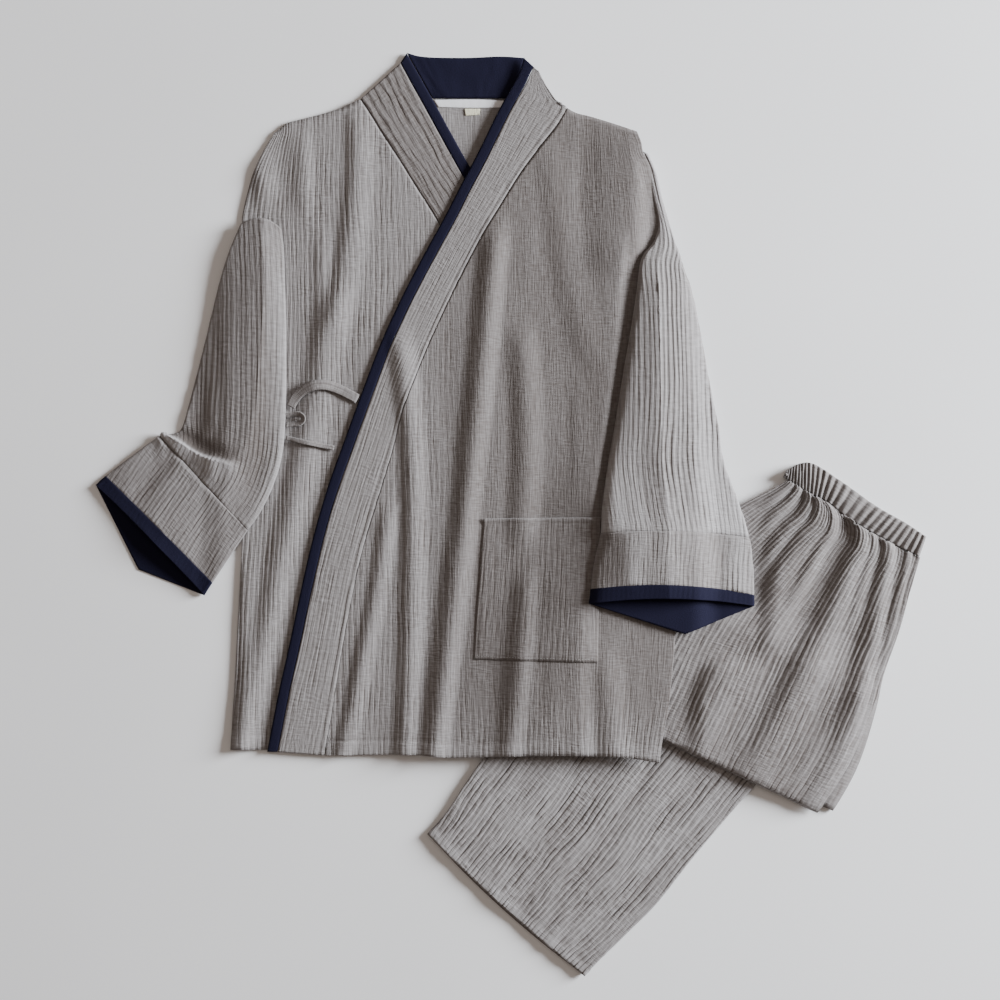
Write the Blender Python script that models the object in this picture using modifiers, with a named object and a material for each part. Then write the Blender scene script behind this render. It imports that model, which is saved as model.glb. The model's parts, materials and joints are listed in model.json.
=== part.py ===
"""A kimono pyjama set laid flat: a crinkled gauze wrap jacket over its folded trousers.

The cloth lies on a table at z = 0 and is seen from above, with the neck towards +Y. Tables are
in millimetres from the middle of the set. Every panel is a surface worked out from its section
table, and gets its cloth thickness from there.
"""

import math
from collections import namedtuple

import bmesh
import bpy
import numpy as np

# Driving dimensions, in millimetres
CLOTH = 1.2  # wall of crinkled double gauze
BAND = 1.8  # collar band, two layers and a stay
CASING = 2.3  # waistband wall with its elastic
SEAM = 0.4  # clear space between two sewn pieces
TRIM_WIDTH = 12.0  # navy binding along the fronts
TIE_WIDTH = 11.0
NECK_WALL = 1.6  # collar band behind the neck
TAPE = 1.0  # neck tape and size tab
TAPE_LEVEL = 1.5  # underside of the tape and tab, above the back
FACING_LEVEL = 2.0  # underside of the navy facing, above the collar's back
UNDER_LEVEL = 2.0  # underside of the under front, above the back
OVER_LEVEL = 5.0  # underside of the over front
ARM_LEFT_LEVEL = 4.1  # left sleeve where it lies on the body
ARM_RIGHT_LEVEL = 9.6  # right sleeve where it lies on the body and pocket
ARMHOLE_LEVEL = 3.6  # and beside the shoulder
ARMHOLE_Y = 346.0  # where the right sleeve starts to rise from the armhole's level
ARMHOLE_RAMP = 22.0
ARM_OUTSIDE = 48.0  # how far outside the body's edge a sleeve starts to rise onto it
ARM_RAMP = 30.0
POCKET_LIFT = 2.86  # underside of the pocket, above the over front's underside
TIE_LIFT = 2.3  # underside of the tie, above the under front's underside
LOOP_LIFT = 2.0  # and of its loop
LEG_TOP = 6.4  # top of the lower leg, two flat tubes high
LEG_LIFT = 7.3  # what the jacket lies on over the lower leg
STACK_LIFT = 9.0  # and how much more over the folded trousers
LAYERS_DEEP = 6.0  # folded layers under the upper trousers
LAYERS = 3
LAYER_GROOVE = 1.2
LAYERS_TUCK = 4.0  # how far the layers stand back beside the rise
LAYERS_START = 0.035  # where they start and end down the trousers
LAYERS_END = 0.98
LAYERS_SQUASH = 0.45
FOLD_OUTSET = 14.0  # the layers reach past the top one beside the fold
LEG_BASE = 6.8  # underside of those layers where they cross the leg
LEG_CLEAR = 75.0  # how far outside the leg they start to rise onto it
LEG_RAMP = 60.0
UPPER_LENGTH = 350.0  # the upper trousers from waistband to fold
UPPER_GAP = 1.1  # above the folded layers
FOLD_TURN = 8.0  # the last stretch, which turns down over the fold
FOLD_DROP = 3.0
BAND_BLEND = 0.12  # share of the length that follows the waistband's lower line
BAND_START = 0.06  # share of the waistband left of the rise
BAND_GAP = (0.4, 0.6)  # clear of the waistband, in x and y
LEG_SPLIT = (2.7, 3.0)  # top of the leg beneath and underside of the leg above
HEM_BOW = 4.0  # how far the hem's middle bows out
HEM_BOW_UNDER = 6.0
LEG_TUCK = 2.0  # how far the leg beneath stands back at each side
DRAPE = 100.0  # how far cloth takes to come down from what it lies on
CLEAR = 22.0  # how far outside an edge beneath it starts to come down
PLEATS = 27  # gathers in the waistband
PLEAT_RISE = 1.5
BAND_HIGH = 8.4  # waistband, from its underside to where its pleats start
BAND_PUFF = 1.6
BOX_SHIFT = (-0.25, 0.34)  # moves the set so that its box is centred on the origin

# Edges read across the garment: x, y pairs from the neck down
SHOULDER_RIGHT = [(61, 448), (72, 442), (91, 437), (127, 425), (134, 421)]
SHOULDER_LEFT = [(-260, 421), (-248, 431), (-235, 435), (-215, 440), (-191, 447), (-166, 458)]
SIDE_RIGHT = [
    (134, 421), (139, 408), (141, 397), (149, 381), (155, 353), (161, 321), (164, 285),
    (168, 235), (175, 125), (182, -34), (182, -84), (180, -138), (177, -174),
    (173, -211), (166, -249), (163, -273),
]
SIDE_LEFT = [
    (-260, 421), (-274, 398), (-285, 373), (-293, 345), (-297, 322), (-293, 301),
    (-287, 235), (-290, 125), (-297, -36), (-303, -150), (-309, -261),
]
OVER_HEM = [(-205, -266), (-113, -265), (-67, -268), (-34, -267), (45, -265), (112, -266),
            (133, -268), (163, -273)]
UNDER_HEM = [(-309, -260), (-271, -260), (-150, -262), (83, -263)]
BACK_HEM = [(-309, -257), (163, -257)]
BACK_NECK = [(-166, 458.4), (-100, 458.4), (0, 458.4), (61, 447.6)]

# The collar bands, a row for each section from the neck to the hem
BandRow = namedtuple("BandRow", "trim_x trim_y seam_x seam_y")
COLLAR_OVER = [
    BandRow(25, 492, 29, 487),
    BandRow(21, 484, 39, 471),
    BandRow(17, 475, 52, 453),
    BandRow(11, 464, 61, 447),
    BandRow(3, 450, 51, 429),
    BandRow(-9, 427, 33, 406),
    BandRow(-25, 394, 10, 375),
    BandRow(-44, 358, -12, 340),
    BandRow(-63, 321, -33, 305),
    BandRow(-85, 281, -55, 263),
    BandRow(-109, 235, -75, 222),
    BandRow(-132, 185, -96, 175),
    BandRow(-151, 136, -116, 123),
    BandRow(-171, 81, -131, 68),
    BandRow(-190, 28, -147, 15),
    BandRow(-205, -23, -162, -34),
    BandRow(-217, -73, -173, -81),
    BandRow(-231, -139, -185, -144),
    BandRow(-244, -197, -195, -205),
    BandRow(-253, -243, -202, -246),
    BandRow(-257, -262, -205, -266),
]
COLLAR_UNDER = [
    BandRow(-122, 497, -166, 457),
    BandRow(-109, 473, -156, 442),
    BandRow(-95, 448, -143, 421),
    BandRow(-77, 415, -124, 392),
    BandRow(-61, 386, -106, 363),
    BandRow(-45, 358, -87, 333),
    BandRow(-28, 324, -68, 301),
    BandRow(-8, 286, -48, 264),
    BandRow(12, 243, -30, 224),
    BandRow(35, 187, -7, 169),
    BandRow(57, 130, 14, 114),
    BandRow(75, 73, 31, 59),
    BandRow(90, 15, 45, 4),
    BandRow(99, -30, 54, -40),
    BandRow(110, -86, 65, -95),
    BandRow(118, -143, 73, -150),
    BandRow(124, -200, 78, -205),
    BandRow(129, -263, 83, -263),
]
NECK_ROWS = 3  # rows of the over collar that lie beyond the front's seam
OVER_SEAM = [(row.seam_x, row.seam_y) for row in COLLAR_OVER[NECK_ROWS:]]
UNDER_SEAM = [(row.seam_x, row.seam_y) for row in COLLAR_UNDER]
TRIM_OVER_TIP = (14, 502)
TRIM_UNDER_TIP = (-115, 508)

# The back of the neck: upper and lower edge, from left to right
NeckRow = namedtuple("NeckRow", "top_x top_y low_x low_y")
NECK_FACING = [
    NeckRow(-115, 508.5, -86.4, 458),
    NeckRow(-95, 504, -72, 458),
    NeckRow(-51, 503, -45, 458),
    NeckRow(-12, 504.5, -22, 458),
    NeckRow(15.2, 503, 2, 458),
]
COLLAR_BACK = [
    NeckRow(-111, 506, -90, 461.0),
    NeckRow(-51, 501, -50, 461.0),
    NeckRow(11, 503, -11, 461.0),
]
NECK_TAPE = [
    NeckRow(-85.5, 456.8, -80.5, 448.5),
    NeckRow(-45, 457.4, -45, 447.6),
    NeckRow(-6.5, 456.0, -9, 448.0),
]
SIZE_TAB = [NeckRow(-51, 447, -50, 439), NeckRow(-34, 447, -35, 440)]

# Long folds: a crest through three points, how far it spreads to each side, its height
Fold = namedtuple("Fold", "top_x top_y mid_x mid_y low_x low_y left right height")
OVER_FOLDS = [
    Fold(-14, 335, -46, 37, -94, -330, 23, 20, 10.0),
    Fold(-124, 215, -108, 15, -119, -330, 18, 20, 7.5),
    Fold(-132, 30, -150, -95, -200, -330, 14, 17, 5.5),
    Fold(12, 225, 18, 81, 10, -60, 24, 22, 6.0),
    Fold(45, 420, 57, 301, 88, 150, 16, 26, 5.0),
    Fold(137, 450, 137, 360, 131, 250, 72, 15, 9.0),
    Fold(123, 320, 108, 150, 88, -30, 60, 13, 7.0),
    Fold(20, -40, 8, -183, -9, -330, 22, 18, 6.0),
    Fold(98, -130, 106, -194, 118, -330, 25, 25, 5.0),
]
UNDER_FOLDS = [
    Fold(-170, 470, -172, 350, -200, 180, 18, 26, 6.0),
    Fold(-186, 270, -230, 59, -312, -330, 24, 28, 7.0),
    Fold(-230, 440, -228, 385, -228, 310, 24, 14, 4.0),
    Fold(-208, 330, -208, 250, -216, 150, 14, 14, 3.0),
    Fold(-284, -30, -292, -139, -301, -330, 14, 16, 3.0),
    Fold(-278, 412, -275, 368, -272, 322, 15, 22, 6.0),
]
FOLD_FADE = 50.0
TRIM_FADE = 26.0
TRIM_CLEAR = 4.0
Press = namedtuple("Press", "low low_fade high high_fade")
PRESS_RIGHT = Press(-128, 24, 292, 12)  # where the right sleeve presses the folds flat
PRESS_LEFT = Press(-24, 20, 331, 10)
PRESS_EDGE = 14.0

# Sleeves and cuffs as flattened tubes: left and right edge of each section from the armhole
# down, its height, where its crest is from -1 at the left edge to 1, how far the middle of the
# upper wall stands back, and how far the middle of the lower wall reaches out
ArmRow = namedtuple("ArmRow", "left_x left_y right_x right_y height crest back reach")
ARM_LEFT = [
    ArmRow(-298, 319, -253, 314, 9.5, 0.1, 9, 0),
    ArmRow(-310, 290, -250, 288, 13.0, 0.25, 4, 0),
    ArmRow(-320, 259, -249, 252, 15.0, 0.4, 0, 0),
    ArmRow(-337, 191, -248, 186, 16.0, 0.4, 0, 0),
    ArmRow(-354, 125, -249, 114, 15.0, 0.4, 0, 0),
    ArmRow(-363, 95, -253, 64, 14.0, 0.3, 0, 0),
    ArmRow(-371, 89, -263, 30, 14.0, 0.1, 0, 0),
    ArmRow(-379, 88, -277, 1, 14.0, 0.0, 0, 0),
    ArmRow(-387, 86, -290, -18, 13.0, 0.0, 0, 0),
    ArmRow(-417, 65, -309, -46, 12.5, 0.0, 0, 0),
    ArmRow(-447, 42, -329, -76, 12.5, 0.1, 1, 0),
    ArmRow(-458, 32, -338, -90, 13.5, 0.1, 2, 32),
]
ARM_RIGHT = [
    ArmRow(142, 400, 150, 397, 5.4, 0.0, 0, 0),
    ArmRow(150, 381, 159.5, 375, 6.0, 0.0, 0, 0),
    ArmRow(156, 353, 167, 344, 7.0, 0.0, 0, 0),
    ArmRow(162.5, 321, 177, 310, 8.5, -0.05, 0, 0),
    ArmRow(157, 300, 184, 290, 10.0, -0.15, 0, 0),
    ArmRow(143, 280, 190, 271, 12.0, -0.2, 0, 0),
    ArmRow(138, 246, 199, 246, 14.5, -0.2, 0, 0),
    ArmRow(132, 206, 208, 205, 16.0, -0.18, 0, 0),
    ArmRow(123, 154, 219, 145, 17.5, -0.15, 0, 0),
    ArmRow(114, 98, 228, 98, 18.0, -0.1, 0, 0),
    ArmRow(107, 59, 234, 57, 18.0, -0.09, 0, 0),
    ArmRow(100, 10, 252, 7, 17.5, -0.09, 2, 0),
    ArmRow(98, -21, 262, -26, 16.5, -0.1, 5, 0),
    ArmRow(91, -52, 266, -57, 16.0, -0.08, 6, 0),
    ArmRow(87, -82, 267, -89, 15.5, -0.06, 8, 0),
    ArmRow(85, -98, 267, -101, 16.0, -0.04, 7, 32),
]
ARM_PARTS = {"left": (8, 10), "right": (12, 14)}  # rows where the cuff and the binding start
ARM_EDGE = 5.0  # roundness of the flattened tube's side edges
REACH_PEAK = 0.16
CREST_POWER = 1.15

# Trousers: left and right edge of each section
LegRow = namedtuple("LegRow", "left_x left_y right_x right_y")
TROUSER_UPPER = [
    LegRow(308, 36, 450, -50.5),
    LegRow(253, 9, 440, -83),
    LegRow(197, -34, 427, -130),
    LegRow(147, -84, 411, -174),
    LegRow(118, -125, 396, -218),
    LegRow(98, -169, 372, -274),
    LegRow(87, -211, 338, -328),
]
LEG_LOWER = [
    LegRow(-92, -353, 81, -509),
    LegRow(-70, -327, 106, -483),
    LegRow(-51, -298, 131, -459),
    LegRow(-28, -266, 160, -430),
    LegRow(7, -220, 198, -382),
    LegRow(40, -177, 234, -339),
    LegRow(77, -127, 270, -298),
    LegRow(119, -70, 350, -209),
]
WAISTBAND = [
    NeckRow(302.5, 46, 299, 41),
    NeckRow(315, 54, 314, 32),
    NeckRow(332, 55.5, 330, 22),
    NeckRow(362, 37, 350, 11),
    NeckRow(401.5, 9, 383, -13),
    NeckRow(433, -9, 416, -31),
    NeckRow(458.5, -26, 450.5, -48),
]
# Gathers: where each crest is across the trousers at the waist, halfway and near the fold, how
# far down it reaches, how far it spreads to each side and its height
Gather = namedtuple("Gather", "waist mid low reach left right height")
GATHERS = [
    Gather(0.05, 0.11, 0.12, 0.50, 0.050, 0.05, 3.0),
    Gather(0.13, 0.23, 0.26, 0.50, 0.050, 0.05, 4.0),
    Gather(0.25, 0.33, 0.34, 0.70, 0.060, 0.05, 5.0),
    Gather(0.34, 0.42, 0.40, 1.35, 0.090, 0.20, 8.5),
    Gather(0.44, 0.54, 0.57, 0.55, 0.045, 0.05, 4.0),
    Gather(0.62, 0.71, 0.68, 1.25, 0.090, 0.12, 8.0),
    Gather(0.71, 0.81, 0.82, 0.55, 0.040, 0.05, 3.5),
    Gather(0.80, 0.91, 0.96, 1.30, 0.080, 0.06, 6.0),
    Gather(0.93, 0.97, 0.98, 0.60, 0.030, 0.03, 2.5),
]
GATHERS_RIGHT_OF_CUFF = 268.0  # nearer than this the cuff presses them flat
GATHERS_RIGHT_OF_BODY = 188.0  # and the jacket below the cuff
GATHERS_BELOW_CUFF = -150.0
GATHER_RAMP = 26.0
POCKET = [LegRow(-30, -5.5, 99, -4), LegRow(-34, -60, 98, -60), LegRow(-38, -110, 96, -110),
          LegRow(-41, -160, 95, -163)]

# Side tie: its middle line and how high its underside stands over the cloth
TieRow = namedtuple("TieRow", "x y rise")
TIE_UPPER = [TieRow(-243, 118, 1.5), TieRow(-238, 127, 2.2), TieRow(-230, 135, 3.2),
             TieRow(-218, 141, 3.5), TieRow(-205, 142, 3.0), TieRow(-190, 137.5, 1.6),
             TieRow(-169, 126.5, 0.4)]
TIE_LOWER = [TieRow(-247.8, 84, 2.0), TieRow(-232, 80, 1.2), TieRow(-213, 76, 0.6),
             TieRow(-195, 72.5, 0.5)]
TIE_LOOP = [TieRow(-247.6, 105.5, 0.6), TieRow(-240, 107, 0.6), TieRow(-234, 107.5, 0.6),
            TieRow(-231, 104.8, 0.6), TieRow(-234, 102, 0.6), TieRow(-240, 101.5, 0.6),
            TieRow(-247.6, 101, 0.6)]
LOOP_HIGH = 4.5
LOOP_LEAN = 5.5

GREY = (0.37, 0.36, 0.37, 1)
NAVY = (0.012, 0.013, 0.032, 1)
WHITE = (0.75, 0.75, 0.76, 1)
CREAM = (0.72, 0.69, 0.55, 1)


def smooth(t):
    t = np.clip(t, 0, 1)
    return t * t * (3 - 2 * t)


class Line:
    """A smooth line through a list of points."""

    def __init__(self, points):
        knots = np.array(points, float)
        padded = np.vstack([2 * knots[0] - knots[1], knots, 2 * knots[-1] - knots[-2]])
        spot = np.linspace(0, len(knots) - 1, 40 * (len(knots) - 1) + 1)
        i = np.minimum(spot.astype(int), len(knots) - 2)
        t = (spot - i)[:, None]
        a, b, c, d = (padded[i + k] for k in range(4))
        self.dense = b + 0.5 * t * (c - a + t * (2 * a - 5 * b + 4 * c - d + t * (3 * (b - c) + d - a)))
        self.share = spot / (len(knots) - 1)

    def at(self, share):
        return [np.interp(share, self.share, column) for column in self.dense.T]

    def share_at_x(self, x, start=0.0):
        """Where along the line, from start on, it reaches an x."""
        later = self.share >= start
        order = np.argsort(self.dense[later, 0])
        return np.interp(x, self.dense[later, 0][order], self.share[later][order])

    def x_at(self, y):
        order = np.argsort(self.dense[:, 1])
        return np.interp(y, self.dense[order, 1], self.dense[order, 0])

    def y_at(self, x):
        order = np.argsort(self.dense[:, 0])
        return np.interp(x, self.dense[order, 0], self.dense[order, 1])


SIDES = {"left": Line(SIDE_LEFT), "right": Line(SIDE_RIGHT)}
OVER_TRIM_EDGE = Line([(row.trim_x - TRIM_WIDTH, row.trim_y) for row in COLLAR_OVER])
ARM_LEFT_EDGE = Line([(row.right_x, row.right_y) for row in ARM_LEFT[:9]])
ARM_RIGHT_EDGE = Line([(row.left_x, row.left_y) for row in ARM_RIGHT[5:]])


def beyond(a, b, x, y):
    """How far a point lies to the right of the line from a to b."""
    along = np.array(b, float) - np.array(a, float)
    along /= np.hypot(*along)
    return (x - a[0]) * along[1] - (y - a[1]) * along[0]


def inside_leg(x, y):
    low, high = LEG_LOWER[0], LEG_LOWER[-1]
    left = beyond((low.left_x, low.left_y), (high.left_x, high.left_y), x, y)
    right = -beyond((low.right_x, low.right_y), (high.right_x, high.right_y), x, y)
    top = beyond((high.left_x, high.left_y), (high.right_x, high.right_y), x, y)
    return np.minimum(np.minimum(left, right), top)


def inside_stack(x, y):
    waist, crotch, fold = TROUSER_UPPER[1], TROUSER_UPPER[4], TROUSER_UPPER[6]
    rise = -beyond((waist.left_x, waist.left_y), (crotch.left_x, crotch.left_y), x, y)
    inseam = -beyond((crotch.left_x, crotch.left_y), (fold.left_x, fold.left_y), x, y)
    end = -beyond((fold.left_x, fold.left_y), (fold.right_x, fold.right_y), x, y)
    return np.minimum(np.minimum(rise, inseam), end)


def ground(x, y):
    """Height of what the jacket lies on: the table, the lower leg or the folded trousers."""
    leg = smooth((inside_leg(x, y) + CLEAR + DRAPE) / DRAPE)
    stack = smooth((inside_stack(x, y) + CLEAR + DRAPE) / DRAPE)
    return LEG_LIFT * leg + STACK_LIFT * stack


def fold_height(fold, x, y):
    crest = Line([(fold.top_x, fold.top_y), (fold.mid_x, fold.mid_y), (fold.low_x, fold.low_y)])
    off = x - crest.x_at(y)
    spread = np.where(off < 0, fold.left, fold.right)
    swell = np.cos(np.pi / 2 * np.clip(np.abs(off) / spread, 0, 1)) ** 2
    ends = smooth((fold.top_y - y) / FOLD_FADE) * smooth((y - fold.low_y) / FOLD_FADE)
    return fold.height * swell * ends


def free_of(press, into, y):
    """1 where no sleeve presses the front flat; into is how far outside the sleeve's edge."""
    along = smooth((y - press.low) / press.low_fade) * smooth((press.high - y) / press.high_fade)
    return 1 - along * (1 - smooth(into / PRESS_EDGE))


def over_folds(x, y):
    """Folds of the over front, pressed flat under the right sleeve."""
    free = free_of(PRESS_RIGHT, ARM_RIGHT_EDGE.x_at(y) - x, y)
    return free * sum(fold_height(fold, x, y) for fold in OVER_FOLDS)


def under_folds(x, y):
    """Folds of the under front, pressed flat under the left sleeve and the over front's edge."""
    beside_trim = smooth((OVER_TRIM_EDGE.x_at(y) - TRIM_CLEAR - x) / TRIM_FADE)
    free = free_of(PRESS_LEFT, x - ARM_LEFT_EDGE.x_at(y), y)
    return beside_trim * free * sum(fold_height(fold, x, y) for fold in UNDER_FOLDS)


def under_surface(x, y):
    return ground(x, y) + UNDER_LEVEL + under_folds(x, y)


def over_surface(x, y):
    return ground(x, y) + OVER_LEVEL + over_folds(x, y)


def body_panel(top, hem, sides, surface):
    """A front or back whose columns run down the grain, and bend to its side edges.

    top and hem give y at an x, and sides holds the side lines it has and the reference x where
    its columns there start.
    """

    def place(column, share):
        def bent(y):
            x = column.copy()
            for side, (start, end) in sides.items():
                pull = np.clip((column - start) / (end - start), 0, 1) ** 2
                x = x + pull * (SIDES[side].x_at(y) - end)
            return x

        high = top(bent(top(column))) - SEAM_DROP
        low = hem(bent(hem(column)))
        y = high + (low - high) * share
        x = bent(y)
        return x, y, surface(x, y)

    return place


PANEL_ROWS = np.array(
    [0, 0.05, 0.1, 0.15, 0.22, 0.31, 0.4, 0.49, 0.56, 0.62, 0.68, 0.74, 0.8, 0.85, 0.9, 0.95, 1]
)
SEAM_DROP = 0.8  # keeps a front clear of its collar, measured down the grain
RIGHT_BEND = {"right": (60, 182)}
LEFT_BEND = {"left": (-190, -309)}


def over_top(x):
    seam, shoulder = Line(OVER_SEAM), Line(SHOULDER_RIGHT)
    return np.where(x < OVER_SEAM[0][0], seam.y_at(x), shoulder.y_at(x))


def under_top(x):
    seam, shoulder = Line(UNDER_SEAM), Line(SHOULDER_LEFT)
    return np.where(x > UNDER_SEAM[0][0], seam.y_at(x), shoulder.y_at(x))


def back_top(x):
    left, neck, right = Line(SHOULDER_LEFT), Line(BACK_NECK), Line(SHOULDER_RIGHT)
    beyond_left = np.where(x < BACK_NECK[0][0], left.y_at(x), neck.y_at(x))
    return np.where(x > BACK_NECK[-1][0], right.y_at(x), beyond_left)


FRONT_OVER = body_panel(over_top, Line(OVER_HEM).y_at, RIGHT_BEND, over_surface)
FRONT_UNDER = body_panel(under_top, Line(UNDER_HEM).y_at, LEFT_BEND, under_surface)
BACK = body_panel(back_top, Line(BACK_HEM).y_at, {**LEFT_BEND, **RIGHT_BEND}, ground)


def strip(first, second, surface, inset=SEAM / 2):
    """A strip between two lines, drawn in by inset along both."""

    def place(across, share):
        ax, ay = first.at(share)
        bx, by = second.at(share)
        width = np.hypot(bx - ax, by - ay)
        part = inset / width + across * (1 - 2 * inset / width)
        x, y = ax + (bx - ax) * part, ay + (by - ay) * part
        return x, y, surface(x, y)

    return place


def edges(rows):
    """The two side lines of a table of sections."""
    return Line([row[:2] for row in rows]), Line([row[2:4] for row in rows])


def bound_edge(rows, side, tip):
    """The binding's free edge: its sewn edge moved out square by its width, then squared at the hem."""
    sewn = np.array([(row.trim_x, row.trim_y) for row in rows], float)
    run = np.gradient(sewn, axis=0)
    run /= np.hypot(run[:, 0], run[:, 1])[:, None]
    free = sewn + side * TRIM_WIDTH * np.column_stack([-run[:, 1], run[:, 0]])
    free[0] = tip
    free[-1, 1] = sewn[-1, 1]
    return Line(free)


def arm_base(side, x, y):
    """What a sleeve's lower wall lies on: the body's side, and the table or the trousers past it."""
    level = ARM_LEFT_LEVEL
    sign = 1
    if side == "right":
        risen = smooth((ARMHOLE_Y - y) / ARMHOLE_RAMP)
        level = ARMHOLE_LEVEL + (ARM_RIGHT_LEVEL - ARMHOLE_LEVEL) * risen
        sign = -1
    in_from_side = sign * (x - SIDES[side].x_at(y))
    on_body = smooth((in_from_side + ARM_OUTSIDE) / ARM_RAMP)
    return ground(x, y) + level * on_body


def arm(side, rows):
    """A sleeve, cuff and binding as one flattened tube. around goes 0 to 1 over the top and back."""
    left, right = edges(rows)
    sections = Line([row[4:] for row in rows])

    def place(around, share):
        height, crest, back, reach = sections.at(share)
        ax, ay = left.at(share)
        bx, by = right.at(share)
        half = np.hypot(bx - ax, by - ay) / 2
        c = -np.cos(2 * np.pi * around)
        upper = np.sin(2 * np.pi * around) >= -1e-9
        lean = np.where(c < crest, (c - crest) / (1 + crest), (c - crest) / (1 - crest))
        tent = np.where(c < REACH_PEAK, (1 + c) / (1 + REACH_PEAK), (1 - c) / (1 - REACH_PEAK))
        slide = np.where(upper, back * (1 - c * c), -reach * tent)
        x = (ax + bx) / 2 + c * (bx - ax) / 2 - (by - ay) / (2 * half) * slide
        y = (ay + by) / 2 + c * (by - ay) / 2 + (bx - ax) / (2 * half) * slide
        edge = np.minimum(ARM_EDGE, 1.6 * half)
        round_from = 1 - edge / 2 / half
        rounding = np.sqrt(1 - np.clip((np.abs(c) - round_from) / (1 - round_from), 0, 1) ** 2)
        crown = (height - edge) * (1 - np.abs(lean) ** CREST_POWER)
        lift = np.where(upper, edge / 2 + crown, -edge / 2)
        return x, y, arm_base(side, x, y) + edge / 2 + rounding * lift

    return place


ARMS = {"left": arm("left", ARM_LEFT), "right": arm("right", ARM_RIGHT)}


def layers_base(x, y):
    """Underside of the folded layers, lifted where they cross the lower leg."""
    return LEG_BASE * smooth((inside_leg(x, y) + LEG_CLEAR) / LEG_RAMP)


def gather_height(u, v, x, y):
    swell = 0
    for gather in GATHERS:
        crest = Line([(0, gather.waist), (0.45, gather.mid), (0.9, gather.low), (1.0, gather.low)]).y_at(v)
        off = u - crest
        off = np.clip(np.abs(off) / np.where(off < 0, gather.left, gather.right), 0, 1)
        fade = smooth((gather.reach - v) / (0.6 * gather.reach))
        swell = swell + gather.height * np.cos(np.pi / 2 * off) ** 2 * fade
    beside_cuff = smooth((x - GATHERS_RIGHT_OF_CUFF) / GATHER_RAMP)
    beside_body = smooth((x - GATHERS_RIGHT_OF_BODY) / GATHER_RAMP)
    low = smooth((GATHERS_BELOW_CUFF - y) / GATHER_RAMP)
    return swell * (beside_cuff + (beside_body - beside_cuff) * low)


def trouser_upper_place():
    left, right = edges(TROUSER_UPPER)
    band = edges(WAISTBAND)[1]

    def place(u, v):
        ax, ay = left.at(v)
        bx, by = right.at(v)
        band_x, band_y = band.at(BAND_START + (1 - BAND_START) * u)
        near = 1 - smooth(v / BAND_BLEND)
        x = ax + (bx - ax) * u
        y = ay + (by - ay) * u
        x = x + (band_x - BAND_GAP[0] - x) * near
        y = y + (band_y - BAND_GAP[1] - y) * near
        to_fold = np.clip((1 - v) * UPPER_LENGTH / FOLD_TURN, 0, 1)
        round_over = 1 - np.sqrt(1 - (1 - to_fold) ** 2)
        z = layers_base(x, y) + LAYERS_DEEP + UPPER_GAP + gather_height(u, v, x, y)
        return x, y, z - round_over * FOLD_DROP

    return place


def trouser_layers_place():
    """The folded layers: a slab whose side edges show each layer's own rounded edge."""
    left, right = edges(TROUSER_UPPER)
    corners = [0, 0.25, 0.5, 0.75, 1]

    def place(around, v):
        along = LAYERS_START + v * (LAYERS_END - LAYERS_START)
        ax, ay = left.at(along)
        bx, by = right.at(along)
        c = np.interp(around, corners, [-1, -1, 1, 1, -1])
        level = np.interp(around, corners, [0, 1, 1, 0, 0])
        squash = 1 - LAYERS_SQUASH * smooth((v - 0.975) / 0.025)
        groove = LAYER_GROOVE * np.abs(np.cos(np.pi * LAYERS * level)) * (np.abs(c) > 0.999)
        width = np.hypot(bx - ax, by - ay)
        outset = np.where(c > 0, FOLD_OUTSET * smooth((along - 0.45) / 0.55), -LAYERS_TUCK)
        half = width / 2 + outset - groove
        x = (ax + bx) / 2 + c * (bx - ax) / width * half
        y = (ay + by) / 2 + c * (by - ay) / width * half
        return x, y, layers_base(x, y) + LAYERS_DEEP * (0.5 + (level - 0.5) * squash)

    return place


def flat_tube_place(rows, low, high, bow, tuck):
    """A leg pressed flat, its section a rounded slab, with the hem's middle bowed out."""
    left, right = edges(rows)

    def place(around, share):
        ax, ay = left.at(share)
        bx, by = right.at(share)
        half = np.hypot(bx - ax, by - ay) / 2
        c = -np.cos(2 * np.pi * around)
        lift = np.sin(2 * np.pi * around)
        slide = bow * (1 - c * c) * smooth((0.25 - share) / 0.25)
        run_x, run_y = (bx - ax) / (2 * half), (by - ay) / (2 * half)
        x = (ax + bx) / 2 + c * run_x * (half - tuck) + run_y * slide
        y = (ay + by) / 2 + c * run_y * (half - tuck) - run_x * slide
        edge = (high - low) / 2
        round_from = 1 - edge / half
        rounding = np.sqrt(1 - np.clip((np.abs(c) - round_from) / (1 - round_from), 0, 1) ** 2)
        side = np.where(lift >= -1e-9, 1, -1)
        return x, y, (low + high) / 2 + side * rounding * edge

    return place


def waistband_place():
    """The gathered casing as a flat loop: pleats raised in its outer points."""
    top, low = edges(WAISTBAND)

    def place(around, share):
        c = -np.cos(2 * np.pi * around)
        upper = np.sin(2 * np.pi * around) >= -1e-9
        turn = (1 + c) / 2
        ax, ay = top.at(turn)
        bx, by = low.at(turn)
        inset = SEAM / np.hypot(bx - ax, by - ay)
        x = ax + (bx - ax) * share * (1 - inset)
        y = ay + (by - ay) * share * (1 - inset)
        rounding = np.sqrt(1 - np.clip((np.abs(c) - 0.95) / 0.05, 0, 1) ** 2)
        pleat = PLEAT_RISE * (0.5 - 0.5 * np.cos(2 * np.pi * PLEATS * turn))
        puff = BAND_PUFF * np.sin(np.pi * np.clip(share, 0, 1))
        body = np.where(upper, BAND_HIGH / 2 + puff + pleat, -BAND_HIGH / 2)
        return x, y, BAND_HIGH / 2 + rounding * body

    return place


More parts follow.
